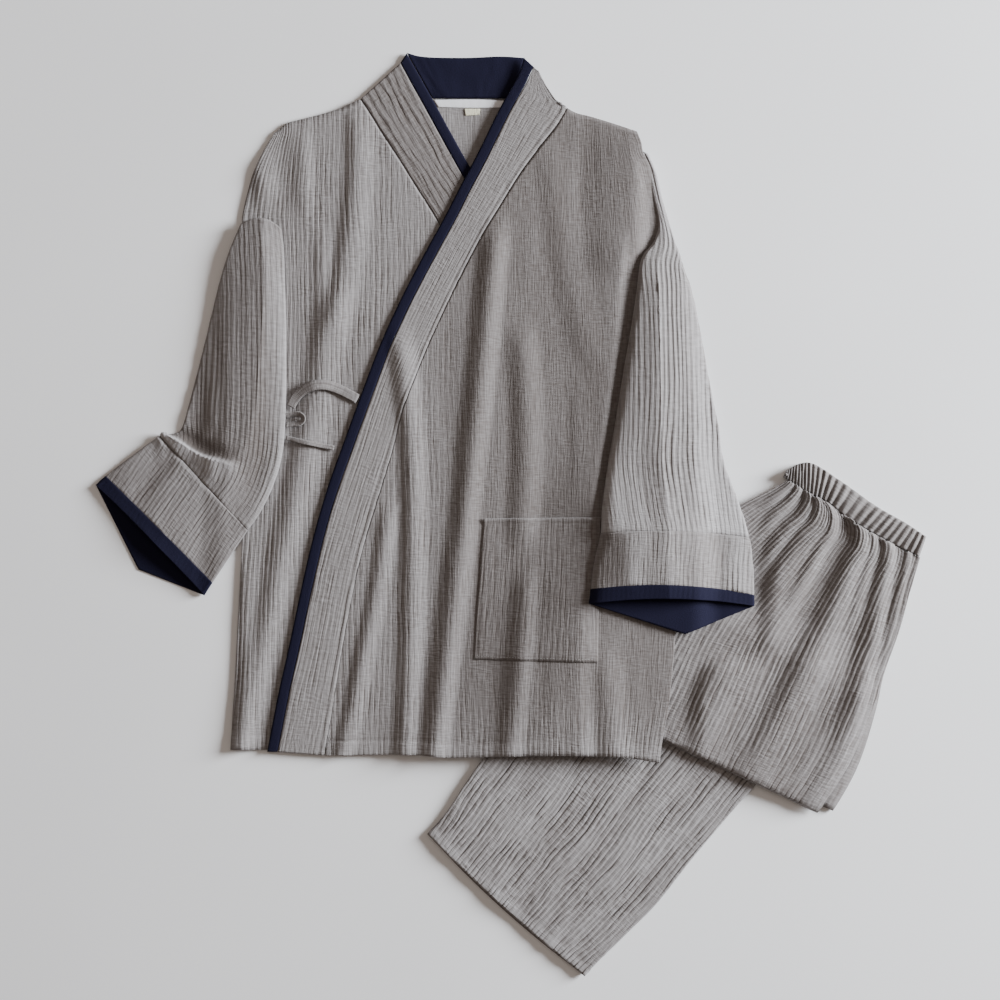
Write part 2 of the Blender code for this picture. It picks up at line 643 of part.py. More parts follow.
def tie_strip(rows, half_width, surface):
    middle = Line([(row.x, row.y, row.rise) for row in rows])

    def place(across, share):
        x, y, rise = middle.at(share)
        ahead = middle.at(np.clip(share + 0.01, 0, 1))
        behind = middle.at(np.clip(share - 0.01, 0, 1))
        dx, dy = ahead[0] - behind[0], ahead[1] - behind[1]
        run = np.hypot(dx, dy)
        side = (2 * across - 1) * half_width
        px, py = x + dy / run * side, y - dx / run * side
        return px, py, surface(px, py) + rise

    return place


def tie_loop_place():
    """The bow's loop: the tie stands on edge and leans out."""
    middle = Line([(row.x, row.y, row.rise) for row in TIE_LOOP])

    def place(across, share):
        x, y, rise = middle.at(share)
        ahead = middle.at(np.clip(share + 0.01, 0, 1))
        behind = middle.at(np.clip(share - 0.01, 0, 1))
        dx, dy = ahead[0] - behind[0], ahead[1] - behind[1]
        run = np.hypot(dx, dy)
        px, py = x - dy / run * LOOP_LEAN * (1 - across), y + dx / run * LOOP_LEAN * (1 - across)
        return px, py, under_surface(x, y) + LOOP_LIFT + rise + LOOP_HIGH * (1 - across)

    return place


def material(name, colour):
    made = bpy.data.materials.get(name)
    if made is None:
        made = bpy.data.materials.new(name)
        made.use_nodes = True
        shader = made.node_tree.nodes["Principled BSDF"]
        shader.inputs["Base Color"].default_value = colour
        shader.inputs["Roughness"].default_value = 0.9
        shader.inputs["Metallic"].default_value = 0.0
    return made


def make(name, place, across, along, colour, collection, wall=0.0, closed=False, capped=False, inward=False):
    """A grid of sections mapped by place, closed round a tube or capped at its ends, then a wall."""
    across, along = np.asarray(across, float), np.asarray(along, float)
    bm = bmesh.new()
    bmesh.ops.create_grid(bm, x_segments=len(across) - 1, y_segments=len(along) - 1, size=0.5)
    upper = [face for face in bm.faces if not closed or face.calc_center_median().x < 0]
    column = [round((vert.co.x + 0.5) * (len(across) - 1)) for vert in bm.verts]
    row = [round((vert.co.y + 0.5) * (len(along) - 1)) for vert in bm.verts]
    x, y, z = place(across[column], along[row])
    for vert, px, py, pz in zip(bm.verts, x, y, z):
        vert.co = ((px + BOX_SHIFT[0]) / 1000, (py + BOX_SHIFT[1]) / 1000, pz / 1000)
    bm.normal_update()
    if sum(face.normal.z for face in upper) < 0:
        bmesh.ops.reverse_faces(bm, faces=bm.faces)
    if closed:
        bmesh.ops.remove_doubles(bm, verts=bm.verts, dist=1e-6)
    if capped:
        bmesh.ops.holes_fill(bm, edges=bm.edges, sides=0)
        bmesh.ops.recalc_face_normals(bm, faces=bm.faces)
    mesh = bpy.data.meshes.new(name)
    bm.to_mesh(mesh)
    bm.free()
    mesh.materials.append(material(*colour))
    mesh.shade_smooth()
    piece = bpy.data.objects.new(name, mesh)
    collection.objects.link(piece)
    if wall:
        solidify = piece.modifiers.new("Wall", "SOLIDIFY")
        solidify.thickness = wall / 1000
        solidify.offset = -1 if inward else 1
    return piece


def make_tube(name, place, around, along, colour, collection, wall):
    make(name, place, around, along, colour, collection, wall, closed=True, inward=True)


def spread(start, end, steps):
    return np.linspace(start, end, steps + 1)


GAUZE = ("grey gauze", GREY)
BINDING = ("navy binding", NAVY)

OVER_COLUMNS = np.concatenate([spread(-204.4, 45, 29), spread(54.5, 181.6, 11)])
UNDER_COLUMNS = np.concatenate([spread(-308.6, -155, 17), spread(-142, 5, 8), spread(14, 82, 8)])
BACK_COLUMNS = np.concatenate([spread(-308.6, -190, 5), spread(-160, -55, 4), spread(-37, 181.6, 12)])


def make_fronts_and_back(collection):
    make("back", BACK, BACK_COLUMNS, PANEL_ROWS, GAUZE, collection, CLOTH)
    make("front_under", FRONT_UNDER, UNDER_COLUMNS, PANEL_ROWS, GAUZE, collection, CLOTH)
    make("front_over", FRONT_OVER, OVER_COLUMNS, PANEL_ROWS, GAUZE, collection, CLOTH)


def make_collar(collection):
    over_start = NECK_ROWS / (len(COLLAR_OVER) - 1)
    over_seam = edges(COLLAR_OVER)[1]
    on_seam = OVER_COLUMNS[OVER_COLUMNS < OVER_SEAM[0][0]]
    over_rows = [spread(0, over_start, 3), over_seam.share_at_x(on_seam[::-1], over_start), [1.0]]
    under_seam = edges(COLLAR_UNDER)[1]
    on_seam = UNDER_COLUMNS[UNDER_COLUMNS > UNDER_SEAM[0][0]]
    under_rows = [[0.0], under_seam.share_at_x(on_seam), [1.0]]
    for name, rows, surface, side, tip, shares in (
        ("over", COLLAR_OVER, over_surface, -1, TRIM_OVER_TIP, over_rows),
        ("under", COLLAR_UNDER, under_surface, 1, TRIM_UNDER_TIP, under_rows),
    ):
        sewn, seam = edges(rows)
        free = bound_edge(rows, side, tip)
        shares = np.concatenate(shares)
        band = strip(sewn, seam, surface)
        make("collar_" + name, band, spread(0, 1, 3), shares, GAUZE, collection, BAND)
        trim = strip(free, sewn, surface)
        make("trim_" + name, trim, spread(0, 1, 1), shares, BINDING, collection, BAND)

    def flat(level):
        return lambda x, y: np.full_like(x, level)

    along = spread(0, 1, 6)
    one = spread(0, 1, 1)
    band_back, facing = strip(*edges(COLLAR_BACK), flat(0.0)), strip(*edges(NECK_FACING), flat(FACING_LEVEL))
    make("collar_back", band_back, one, along, GAUZE, collection, NECK_WALL)
    make("neck_facing", facing, one, along, BINDING, collection, CLOTH)
    tape, tab = (strip(*edges(rows), flat(TAPE_LEVEL)) for rows in (NECK_TAPE, SIZE_TAB))
    make("neck_tape", tape, one, along, ("white tape", WHITE), collection, TAPE)
    make("size_tab", tab, one, one, ("cream tab", CREAM), collection, TAPE)


def make_pocket(collection):
    left, right = edges(POCKET)

    def on_front(x, y):
        return over_surface(x, y) + POCKET_LIFT

    patch = strip(left, right, on_front, 0)
    make("pocket", patch, spread(0, 1, 14), spread(0, 1, 6), GAUZE, collection, CLOTH)


def make_arms(collection):
    for side, rows in (("left", ARM_LEFT), ("right", ARM_RIGHT)):
        last = len(rows) - 1
        cuff, binding = (row / last for row in ARM_PARTS[side])
        clear = SEAM / 24 / last
        round_it = spread(0, 1, 20)
        for name, start, end, steps, colour in (
            ("sleeve_", 0, cuff - clear, last - 2, GAUZE),
            ("cuff_", cuff + clear, binding - clear, 2, GAUZE),
            ("cuff_binding_", binding + clear, 1, 2, BINDING),
        ):
            shares = spread(start, end, steps)
            make_tube(name + side, ARMS[side], round_it, shares, colour, collection, CLOTH)


def make_ties(collection):
    def on_under(x, y):
        return under_surface(x, y) + TIE_LIFT

    upper = tie_strip(TIE_UPPER, TIE_WIDTH / 2, on_under)
    make("tie_end_upper", upper, spread(0, 1, 1), spread(0, 1, 10), GAUZE, collection, CLOTH)
    lower = tie_strip(TIE_LOWER, TIE_WIDTH / 4, on_under)
    make("tie_end_lower", lower, spread(0, 1, 1), spread(0, 1, 6), GAUZE, collection, 2 * CLOTH)
    make("tie_loop", tie_loop_place(), spread(0, 1, 1), spread(0, 1, 12), GAUZE, collection, CLOTH)


def make_trousers(collection):
    even = np.arccos(1 - 2 * spread(0, 1, 4 * PLEATS)) / (2 * np.pi)
    around = np.concatenate([even, spread(0.5, 1, 14)[1:]])
    make_tube("waistband", waistband_place(), around, spread(0, 1, 2), GAUZE, collection, CASING)
    shares = np.concatenate([spread(0, 0.975, 11), [0.99, 1]])
    make("trouser_upper", trouser_upper_place(), spread(0, 1, 32), shares, GAUZE, collection, CLOTH)
    around = np.concatenate([spread(0, 0.25, 4 * LAYERS), spread(0.25, 0.5, 13)[1:]])
    around = np.concatenate([around, around[1:] + 0.5])
    shares = np.concatenate([spread(0, 0.975, 8), [0.99, 1]])
    slab = trouser_layers_place()
    make("trouser_layers", slab, around, shares, GAUZE, collection, closed=True, capped=True)
    leg = flat_tube_place(LEG_LOWER, LEG_SPLIT[1], LEG_TOP, HEM_BOW, 0.0)
    make_tube("leg_lower", leg, spread(0, 1, 20), spread(0, 1, 8), GAUZE, collection, CLOTH)
    leg = flat_tube_place(LEG_LOWER, 0.0, LEG_SPLIT[0], HEM_BOW_UNDER, LEG_TUCK)
    make("leg_under", leg, spread(0, 1, 12), spread(0, 1, 6), GAUZE, collection, closed=True, capped=True)


def main():
    for old in list(bpy.data.objects):
        bpy.data.objects.remove(old, do_unlink=True)
    collection = bpy.data.collections.new("kimono_pyjama_set")
    bpy.context.scene.collection.children.link(collection)
    make_fronts_and_back(collection)
    make_collar(collection)
    make_pocket(collection)
    make_arms(collection)
    make_ties(collection)
    make_trousers(collection)


main()
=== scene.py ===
# %% [markdown]
# # A kimono pyjama set laid flat
#
# Grey crinkled double gauze with navy binding: a wrap jacket over its folded trousers, seen from
# straight above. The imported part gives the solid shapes. This script puts fine cloth in their
# place: each panel is drawn again from its section table on a much finer grid, and the crinkles
# of the gauze are raised in it.
#
# All sizes are in millimetres from the middle of the set, with z up from the table. The tables hold
# the same sections as the solids do, apart from the folds, which are softer here, and the right
# sleeve, which is a little lower.

import json
import math
from collections import namedtuple

import bmesh
import bpy
import numpy as np
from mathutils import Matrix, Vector

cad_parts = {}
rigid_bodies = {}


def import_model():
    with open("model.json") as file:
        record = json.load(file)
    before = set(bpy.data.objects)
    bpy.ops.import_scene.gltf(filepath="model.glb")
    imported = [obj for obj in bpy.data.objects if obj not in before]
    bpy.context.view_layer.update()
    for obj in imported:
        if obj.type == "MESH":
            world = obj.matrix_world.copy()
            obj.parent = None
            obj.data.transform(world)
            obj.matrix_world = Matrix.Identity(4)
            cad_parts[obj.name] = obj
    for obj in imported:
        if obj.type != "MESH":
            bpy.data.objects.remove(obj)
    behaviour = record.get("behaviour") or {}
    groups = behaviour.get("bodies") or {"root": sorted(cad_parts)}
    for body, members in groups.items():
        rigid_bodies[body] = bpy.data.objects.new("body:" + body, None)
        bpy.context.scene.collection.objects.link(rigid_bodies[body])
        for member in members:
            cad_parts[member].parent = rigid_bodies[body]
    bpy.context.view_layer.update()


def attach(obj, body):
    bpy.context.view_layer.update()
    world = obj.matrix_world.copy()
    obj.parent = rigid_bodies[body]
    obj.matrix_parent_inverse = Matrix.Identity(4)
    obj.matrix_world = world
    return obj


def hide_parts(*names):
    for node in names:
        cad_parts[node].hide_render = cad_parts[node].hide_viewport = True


for old in list(bpy.data.objects):
    bpy.data.objects.remove(old, do_unlink=True)
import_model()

# %% [markdown]
# ## Smooth lines
#
# Every edge of a garment is a gentle curve through a few points. It could be a Bezier curve object,
# but the cloth needs the curve's points as numbers, thousands at once. So a small class draws a
# Catmull-Rom line through the points and reads it by share, by x or by y.

# %%
# Smooth lines
def smooth(t):
    t = np.clip(t, 0, 1)
    return t * t * (3 - 2 * t)


class Line:
    """A smooth line through a list of points."""

    def __init__(self, points):
        knots = np.array(points, float)
        padded = np.vstack([2 * knots[0] - knots[1], knots, 2 * knots[-1] - knots[-2]])
        spot = np.linspace(0, len(knots) - 1, 40 * (len(knots) - 1) + 1)
        i = np.minimum(spot.astype(int), len(knots) - 2)
        t = (spot - i)[:, None]
        a, b, c, d = (padded[i + k] for k in range(4))
        self.dense = b + 0.5 * t * (c - a + t * (2 * a - 5 * b + 4 * c - d + t * (3 * (b - c) + d - a)))
        self.share = spot / (len(knots) - 1)

    def at(self, share):
        return [np.interp(share, self.share, column) for column in self.dense.T]

    def x_at(self, y):
        order = np.argsort(self.dense[:, 1])
        return np.interp(y, self.dense[order, 1], self.dense[order, 0])

    def y_at(self, x):
        order = np.argsort(self.dense[:, 0])
        return np.interp(x, self.dense[order, 0], self.dense[order, 1])


def edges(rows):
    """The two side lines of a table of sections."""
    return Line([row[:2] for row in rows]), Line([row[2:4] for row in rows])


# %% [markdown]
# ## Outline of the body
#
# The back and the two fronts share their shoulders and side edges. One table for each edge keeps
# them sewn together, where an outline of its own for each panel would drift apart.

# %%
# Body outline
# Edges read across the garment: x, y pairs from the neck down
SHOULDER_RIGHT = [(61, 448), (72, 442), (91, 437), (127, 425), (134, 421)]
SHOULDER_LEFT = [(-260, 421), (-248, 431), (-235, 435), (-215, 440), (-191, 447), (-166, 458)]
SIDE_RIGHT = [
    (134, 421), (139, 408), (141, 397), (149, 381), (155, 353), (161, 321), (164, 285),
    (168, 235), (175, 125), (182, -34), (182, -84), (180, -138), (177, -174),
    (173, -211), (166, -249), (163, -273),
]
SIDE_LEFT = [
    (-260, 421), (-274, 398), (-285, 373), (-293, 345), (-297, 322), (-293, 301),
    (-287, 235), (-290, 125), (-297, -36), (-303, -150), (-309, -261),
]
OVER_HEM = [(-205, -266), (-113, -265), (-67, -268), (-34, -267), (45, -265), (112, -266),
            (133, -268), (163, -273)]
UNDER_HEM = [(-309, -260), (-271, -260), (-150, -262), (83, -263)]
BACK_HEM = [(-309, -257), (163, -257)]
BACK_NECK = [(-166, 458.4), (-100, 458.4), (0, 458.4), (61, 447.6)]

SIDES = {"left": Line(SIDE_LEFT), "right": Line(SIDE_RIGHT)}
print("side edges of", len(SIDE_LEFT), "and", len(SIDE_RIGHT), "points")

# %% [markdown]
# ## What the jacket lies on
#
# The jacket lies on the table at the left, on the lower leg in the middle and on the folded trousers
# at the right. Cloth simulation could let it fall on them, but then no panel would keep the
# photographed outline. A height for each point does: it ramps up where something lies beneath.

# %%
# Trouser outlines
# Trousers: left and right edge of each section
LegRow = namedtuple("LegRow", "left_x left_y right_x right_y")
TROUSER_UPPER = [
    LegRow(308, 36, 450, -50.5),
    LegRow(253, 9, 440, -83),
    LegRow(197, -34, 427, -130),
    LegRow(147, -84, 411, -174),
    LegRow(118, -125, 396, -218),
    LegRow(98, -169, 372, -274),
    LegRow(87, -211, 338, -328),
]
LEG_LOWER = [
    LegRow(-92, -353, 81, -509),
    LegRow(-70, -327, 106, -483),
    LegRow(-51, -298, 131, -459),
    LegRow(-28, -266, 160, -430),
    LegRow(7, -220, 198, -382),
    LegRow(40, -177, 234, -339),
    LegRow(77, -127, 270, -298),
    LegRow(119, -70, 350, -209),
]

# %%
# Height of the ground
LEG_LIFT = 7.3  # what the jacket lies on over the lower leg
STACK_LIFT = 9.0  # and how much more over the folded trousers
DRAPE = 100.0  # how far cloth takes to come down from what it lies on
CLEAR = 22.0  # how far outside an edge beneath it starts to come down


def beyond(a, b, x, y):
    """How far a point lies to the right of the line from a to b."""
    along = np.array(b, float) - np.array(a, float)
    along /= np.hypot(*along)
    return (x - a[0]) * along[1] - (y - a[1]) * along[0]


def inside_leg(x, y):
    low, high = LEG_LOWER[0], LEG_LOWER[-1]
    left = beyond((low.left_x, low.left_y), (high.left_x, high.left_y), x, y)
    right = -beyond((low.right_x, low.right_y), (high.right_x, high.right_y), x, y)
    top = beyond((high.left_x, high.left_y), (high.right_x, high.right_y), x, y)
    return np.minimum(np.minimum(left, right), top)


def inside_stack(x, y):
    waist, crotch, fold = TROUSER_UPPER[1], TROUSER_UPPER[4], TROUSER_UPPER[6]
    rise = -beyond((waist.left_x, waist.left_y), (crotch.left_x, crotch.left_y), x, y)
    inseam = -beyond((crotch.left_x, crotch.left_y), (fold.left_x, fold.left_y), x, y)
    end = -beyond((fold.left_x, fold.left_y), (fold.right_x, fold.right_y), x, y)
    return np.minimum(np.minimum(rise, inseam), end)


def ground(x, y):
    """Height of what the jacket lies on: the table, the lower leg or the folded trousers."""
    leg = smooth((inside_leg(x, y) + CLEAR + DRAPE) / DRAPE)
    stack = smooth((inside_stack(x, y) + CLEAR + DRAPE) / DRAPE)
    return LEG_LIFT * leg + STACK_LIFT * stack


print("the jacket is lifted by", LEG_LIFT, "over the leg and", LEG_LIFT + STACK_LIFT, "over the stack")

# %% [markdown]
# ## Collar lines
#
# One straight band runs from hem to hem round the neck. Each row of its table holds a point on the
# seam to the front and the point across from it, where the navy binding starts.

# %%
# Collar lines
TRIM_WIDTH = 12.0  # navy binding along the fronts

# The collar bands, a row for each section from the neck to the hem
BandRow = namedtuple("BandRow", "trim_x trim_y seam_x seam_y")
COLLAR_OVER = [
    BandRow(25, 492, 29, 487),
    BandRow(21, 484, 39, 471),
    BandRow(17, 475, 52, 453),
    BandRow(11, 464, 61, 447),
    BandRow(3, 450, 51, 429),
    BandRow(-9, 427, 33, 406),
    BandRow(-25, 394, 10, 375),
    BandRow(-44, 358, -12, 340),
    BandRow(-63, 321, -33, 305),
    BandRow(-85, 281, -55, 263),
    BandRow(-109, 235, -75, 222),
    BandRow(-132, 185, -96, 175),
    BandRow(-151, 136, -116, 123),
    BandRow(-171, 81, -131, 68),
    BandRow(-190, 28, -147, 15),
    BandRow(-205, -23, -162, -34),
    BandRow(-217, -73, -173, -81),
    BandRow(-231, -139, -185, -144),
    BandRow(-244, -197, -195, -205),
    BandRow(-253, -243, -202, -246),
    BandRow(-257, -262, -205, -266),
]
COLLAR_UNDER = [
    BandRow(-122, 497, -166, 457),
    BandRow(-109, 473, -156, 442),
    BandRow(-95, 448, -143, 421),
    BandRow(-77, 415, -124, 392),
    BandRow(-61, 386, -106, 363),
    BandRow(-45, 358, -87, 333),
    BandRow(-28, 324, -68, 301),
    BandRow(-8, 286, -48, 264),
    BandRow(12, 243, -30, 224),
    BandRow(35, 187, -7, 169),
    BandRow(57, 130, 14, 114),
    BandRow(75, 73, 31, 59),
    BandRow(90, 15, 45, 4),
    BandRow(99, -30, 54, -40),
    BandRow(110, -86, 65, -95),
    BandRow(118, -143, 73, -150),
    BandRow(124, -200, 78, -205),
    BandRow(129, -263, 83, -263),
]
NECK_ROWS = 3  # rows of the over collar that lie beyond the front's seam
OVER_SEAM = [(row.seam_x, row.seam_y) for row in COLLAR_OVER[NECK_ROWS:]]
UNDER_SEAM = [(row.seam_x, row.seam_y) for row in COLLAR_UNDER]
OVER_TRIM_EDGE = Line([(row.trim_x - TRIM_WIDTH, row.trim_y) for row in COLLAR_OVER])
print("collar bands of", len(COLLAR_OVER), "and", len(COLLAR_UNDER), "sections")

# %% [markdown]
# ## Sleeve sections
#
# A sleeve that lies flat is a tube pressed nearly shut, with its crest where the cloth stands up
# most. A row of the table is one section across it, so that the width, the height and the crest can
# change down the arm.

# %%
# Sleeve sections
# Sleeves and cuffs as flattened tubes: left and right edge of each section from the armhole
# down, its height, where its crest is from -1 at the left edge to 1, how far the middle of the
# upper wall stands back, and how far the middle of the lower wall reaches out
ArmRow = namedtuple("ArmRow", "left_x left_y right_x right_y height crest back reach")
ARM_LEFT = [
    ArmRow(-298, 319, -253, 314, 9.5, 0.1, 9, 0),
    ArmRow(-310, 290, -250, 288, 13.0, 0.25, 4, 0),
    ArmRow(-320, 259, -249, 252, 15.0, 0.4, 0, 0),
    ArmRow(-337, 191, -248, 186, 16.0, 0.4, 0, 0),
    ArmRow(-354, 125, -249, 114, 15.0, 0.4, 0, 0),
    ArmRow(-363, 95, -253, 64, 14.0, 0.3, 0, 0),
    ArmRow(-371, 89, -263, 30, 14.0, 0.1, 0, 0),
    ArmRow(-379, 88, -277, 1, 14.0, 0.0, 0, 0),
    ArmRow(-387, 86, -290, -18, 13.0, 0.0, 0, 0),
    ArmRow(-417, 65, -309, -46, 12.5, 0.0, 0, 0),
    ArmRow(-447, 42, -329, -76, 12.5, 0.1, 1, 0),
    ArmRow(-458, 32, -338, -90, 13.5, 0.1, 2, 32),
]
ARM_RIGHT = [
    ArmRow(142, 400, 150, 397, 4.0, 0.0, 0, 0),
    ArmRow(150, 381, 159.5, 375, 4.2, 0.0, 0, 0),
    ArmRow(156, 353, 167, 344, 4.8, 0.0, 0, 0),
    ArmRow(162.5, 321, 177, 310, 6.0, -0.05, 0, 0),
    ArmRow(157, 300, 184, 290, 7.5, -0.15, 0, 0),
    ArmRow(143, 280, 190, 271, 9.8, -0.2, 0, 0),
    ArmRow(138, 246, 199, 246, 14.0, -0.2, 0, 0),
    ArmRow(132, 206, 208, 205, 17.0, -0.18, 0, 0),
    ArmRow(123, 154, 219, 145, 19.0, -0.15, 0, 0),
    ArmRow(114, 98, 228, 98, 19.5, -0.1, 0, 0),
    ArmRow(107, 59, 234, 57, 19.5, -0.09, 0, 0),
    ArmRow(100, 10, 252, 7, 19.5, -0.09, 2, 0),
    ArmRow(98, -21, 262, -26, 19.0, -0.1, 5, 0),
    ArmRow(91, -52, 266, -57, 18.0, -0.08, 6, 0),
    ArmRow(87, -82, 267, -89, 17.0, -0.06, 8, 0),
    ArmRow(85, -98, 267, -101, 16.0, -0.04, 7, 32),
]
ARM_PARTS = {"left": (8, 10), "right": (12, 14)}  # rows where the cuff and the binding start
ARM_LEFT_EDGE = Line([(row.right_x, row.right_y) for row in ARM_LEFT[:9]])
ARM_RIGHT_EDGE = Line([(row.left_x, row.left_y) for row in ARM_RIGHT[5:]])
print("sleeves of", len(ARM_LEFT), "and", len(ARM_RIGHT), "sections")

# %% [markdown]
# ## Long folds of the fronts
#
# The fronts hang in long soft folds that run from the chest to the hem. Sculpting them by hand would
# be hard to repeat, so each fold is a row: a crest line through three points, its spread to the left
# and right and its height. The sleeves press them flat where they lie on the fronts.

# %%
# Fold tables
# Long folds: a crest through three points, how far it spreads to each side, its height
Fold = namedtuple("Fold", "top_x top_y mid_x mid_y low_x low_y left right height")
OVER_FOLDS = [
    Fold(-14, 335, -46, 37, -94, -330, 23, 20, 10.0),
    Fold(-124, 215, -108, 15, -119, -330, 18, 20, 7.5),
    Fold(-132, 30, -150, -95, -200, -330, 14, 17, 5.5),
    Fold(12, 225, 18, 81, 10, -60, 24, 22, 6.0),
    Fold(45, 420, 57, 301, 88, 150, 26, 30, 3.4),
    Fold(137, 450, 137, 360, 131, 250, 72, 24, 9.0),
    Fold(123, 320, 108, 150, 88, -30, 60, 13, 7.0),
    Fold(20, -40, 8, -183, -9, -330, 22, 18, 6.0),
    Fold(98, -130, 106, -194, 118, -330, 25, 25, 5.0),
]
UNDER_FOLDS = [
    Fold(-170, 470, -172, 350, -200, 180, 18, 26, 6.0),
    Fold(-186, 270, -230, 59, -312, -330, 24, 28, 7.0),
    Fold(-230, 440, -228, 385, -228, 310, 24, 14, 4.0),
    Fold(-208, 330, -208, 250, -216, 150, 14, 14, 3.0),
    Fold(-284, -30, -292, -139, -301, -330, 14, 16, 3.0),
    Fold(-278, 412, -275, 368, -272, 322, 15, 22, 6.0),
]
print(len(OVER_FOLDS), "folds on the over front and", len(UNDER_FOLDS), "on the under front")

# %%
# Height of a fold
FOLD_FADE = 50.0


def fold_height(fold, x, y):
    crest = Line([(fold.top_x, fold.top_y), (fold.mid_x, fold.mid_y), (fold.low_x, fold.low_y)])
    off = x - crest.x_at(y)
    spread = np.where(off < 0, fold.left, fold.right)
    swell = np.cos(np.pi / 2 * np.clip(np.abs(off) / spread, 0, 1)) ** 2
    ends = smooth((fold.top_y - y) / FOLD_FADE) * smooth((y - fold.low_y) / FOLD_FADE)
    return fold.height * swell * ends


Press = namedtuple("Press", "low low_fade high high_fade")
PRESS_RIGHT = Press(-128, 24, 292, 12)  # where the right sleeve presses the folds flat
PRESS_LEFT = Press(-24, 20, 331, 10)
PRESS_EDGE = 14.0


def free_of(press, into, y):
    """1 where no sleeve presses the front flat; into is how far outside the sleeve's edge."""
    along = smooth((y - press.low) / press.low_fade) * smooth((press.high - y) / press.high_fade)
    return 1 - along * (1 - smooth(into / PRESS_EDGE))


# %%
# Surfaces of the fronts
UNDER_LEVEL = 2.0  # underside of the under front, above the back
OVER_LEVEL = 5.0  # underside of the over front

FOLD_SHARE = 0.62  # the cloth's folds are softer than those of its solid
OVER_RISE = 4.5  # how much the over front rises towards the right sleeve
TRIM_FADE = 26.0
TRIM_CLEAR = 4.0


def over_folds(x, y):
    """Folds of the over front, pressed flat under the right sleeve."""
    free = free_of(PRESS_RIGHT, ARM_RIGHT_EDGE.x_at(y) - x, y)
    return FOLD_SHARE * (free * sum(fold_height(fold, x, y) for fold in OVER_FOLDS))


def under_folds(x, y):
    """Folds of the under front, pressed flat under the left sleeve and the over front's edge."""
    beside_trim = smooth((OVER_TRIM_EDGE.x_at(y) - TRIM_CLEAR - x) / TRIM_FADE)
    free = free_of(PRESS_LEFT, x - ARM_LEFT_EDGE.x_at(y), y)
    return FOLD_SHARE * (beside_trim * free * sum(fold_height(fold, x, y) for fold in UNDER_FOLDS))


def under_surface(x, y):
    return ground(x, y) + UNDER_LEVEL + under_folds(x, y)


def over_surface(x, y):
    edge = ARM_RIGHT_EDGE.x_at(y)
    rise = OVER_RISE * np.clip((x + 90) / (edge + 90), 0, 1) * (1 - smooth((x - edge + 12) / 24))
    return ground(x, y) + OVER_LEVEL + over_folds(x, y) + rise


# %% [markdown]
# ## Body panels
#
# A panel is a function place(column, share) that turns a column and a share of the way down it into
# a point. The columns run down the grain, because the crinkles follow them, and bend out to the side
# edges. A plain grid that is cut by the outline would leave jagged edges instead.

# %%
# Body panels
SEAM_DROP = 0.8  # keeps a front clear of its collar, measured down the grain


def body_panel(top, hem, sides, surface):
    """A front or back whose columns run down the grain, and bend to its side edges.

    top and hem give y at an x, and sides holds the side lines it has and the reference x where
    its columns there start.
    """

    def place(column, share):
        def bent(y):
            x = column.copy()
            for side, (start, end) in sides.items():
                pull = np.clip((column - start) / (end - start), 0, 1) ** 2
                x = x + pull * (SIDES[side].x_at(y) - end)
            return x

        high = top(bent(top(column))) - SEAM_DROP
        low = hem(bent(hem(column)))
        y = high + (low - high) * share
        x = bent(y)
        return x, y, surface(x, y)

    return place


def over_top(x):
    seam, shoulder = Line(OVER_SEAM), Line(SHOULDER_RIGHT)
    return np.where(x < OVER_SEAM[0][0], seam.y_at(x), shoulder.y_at(x))


def under_top(x):
    seam, shoulder = Line(UNDER_SEAM), Line(SHOULDER_LEFT)
    return np.where(x > UNDER_SEAM[0][0], seam.y_at(x), shoulder.y_at(x))


def back_top(x):
    left, neck, right = Line(SHOULDER_LEFT), Line(BACK_NECK), Line(SHOULDER_RIGHT)
    beyond_left = np.where(x < BACK_NECK[0][0], left.y_at(x), neck.y_at(x))
    return np.where(x > BACK_NECK[-1][0], right.y_at(x), beyond_left)


# %%
# Fronts and back as surfaces
RIGHT_BEND = {"right": (60, 182)}
LEFT_BEND = {"left": (-190, -309)}

FRONT_OVER = body_panel(over_top, Line(OVER_HEM).y_at, RIGHT_BEND, over_surface)
FRONT_UNDER = body_panel(under_top, Line(UNDER_HEM).y_at, LEFT_BEND, under_surface)
BACK = body_panel(back_top, Line(BACK_HEM).y_at, {**LEFT_BEND, **RIGHT_BEND}, ground)

# %% [markdown]
# ## Crinkles
#
# Double gauze is two light cloths caught together, and it shrinks into rounded cords down the
# grain. A displacement texture could raise them, but the painted shade in their valleys has to be
# crisp in the material too. So every point knows its phase, which is how many cords lie beside it,
# and both the height and the material's painted valley shade are worked out from that. Noise
# stretched along the grain makes the cords wander.

# %%
# Noise
def lattice(i, j, seed):
    """A repeatable number from -1 to 1 for each whole-number place."""
    mixed = np.sin(i * 127.1 + j * 311.7 + seed * 74.7) * 43758.5453
    return 2 * (mixed - np.floor(mixed)) - 1


def noise(x, y, seed):
    i, j = np.floor(x), np.floor(y)
    u, v = smooth(x - i), smooth(y - j)
    low = lattice(i, j, seed) * (1 - u) + lattice(i + 1, j, seed) * u
    high = lattice(i, j + 1, seed) * (1 - u) + lattice(i + 1, j + 1, seed) * u
    return low * (1 - v) + high * v


# %%
# Cords and swells
PITCH = 6.0  # from one cord to the next
SWAY = 2.4  # how far neighbouring cords drift together
WANDER = 1.3  # and each on its own


def cord_phase(u, v, seed, pitch):
    """How many cords lie between the panel's middle and this point; whole numbers are valleys."""
    sway = SWAY * noise(u / 45, v / 90, seed)
    wander = WANDER * noise(u / 11, v / 46, seed + 1)
    return (u + (sway + wander)) / pitch


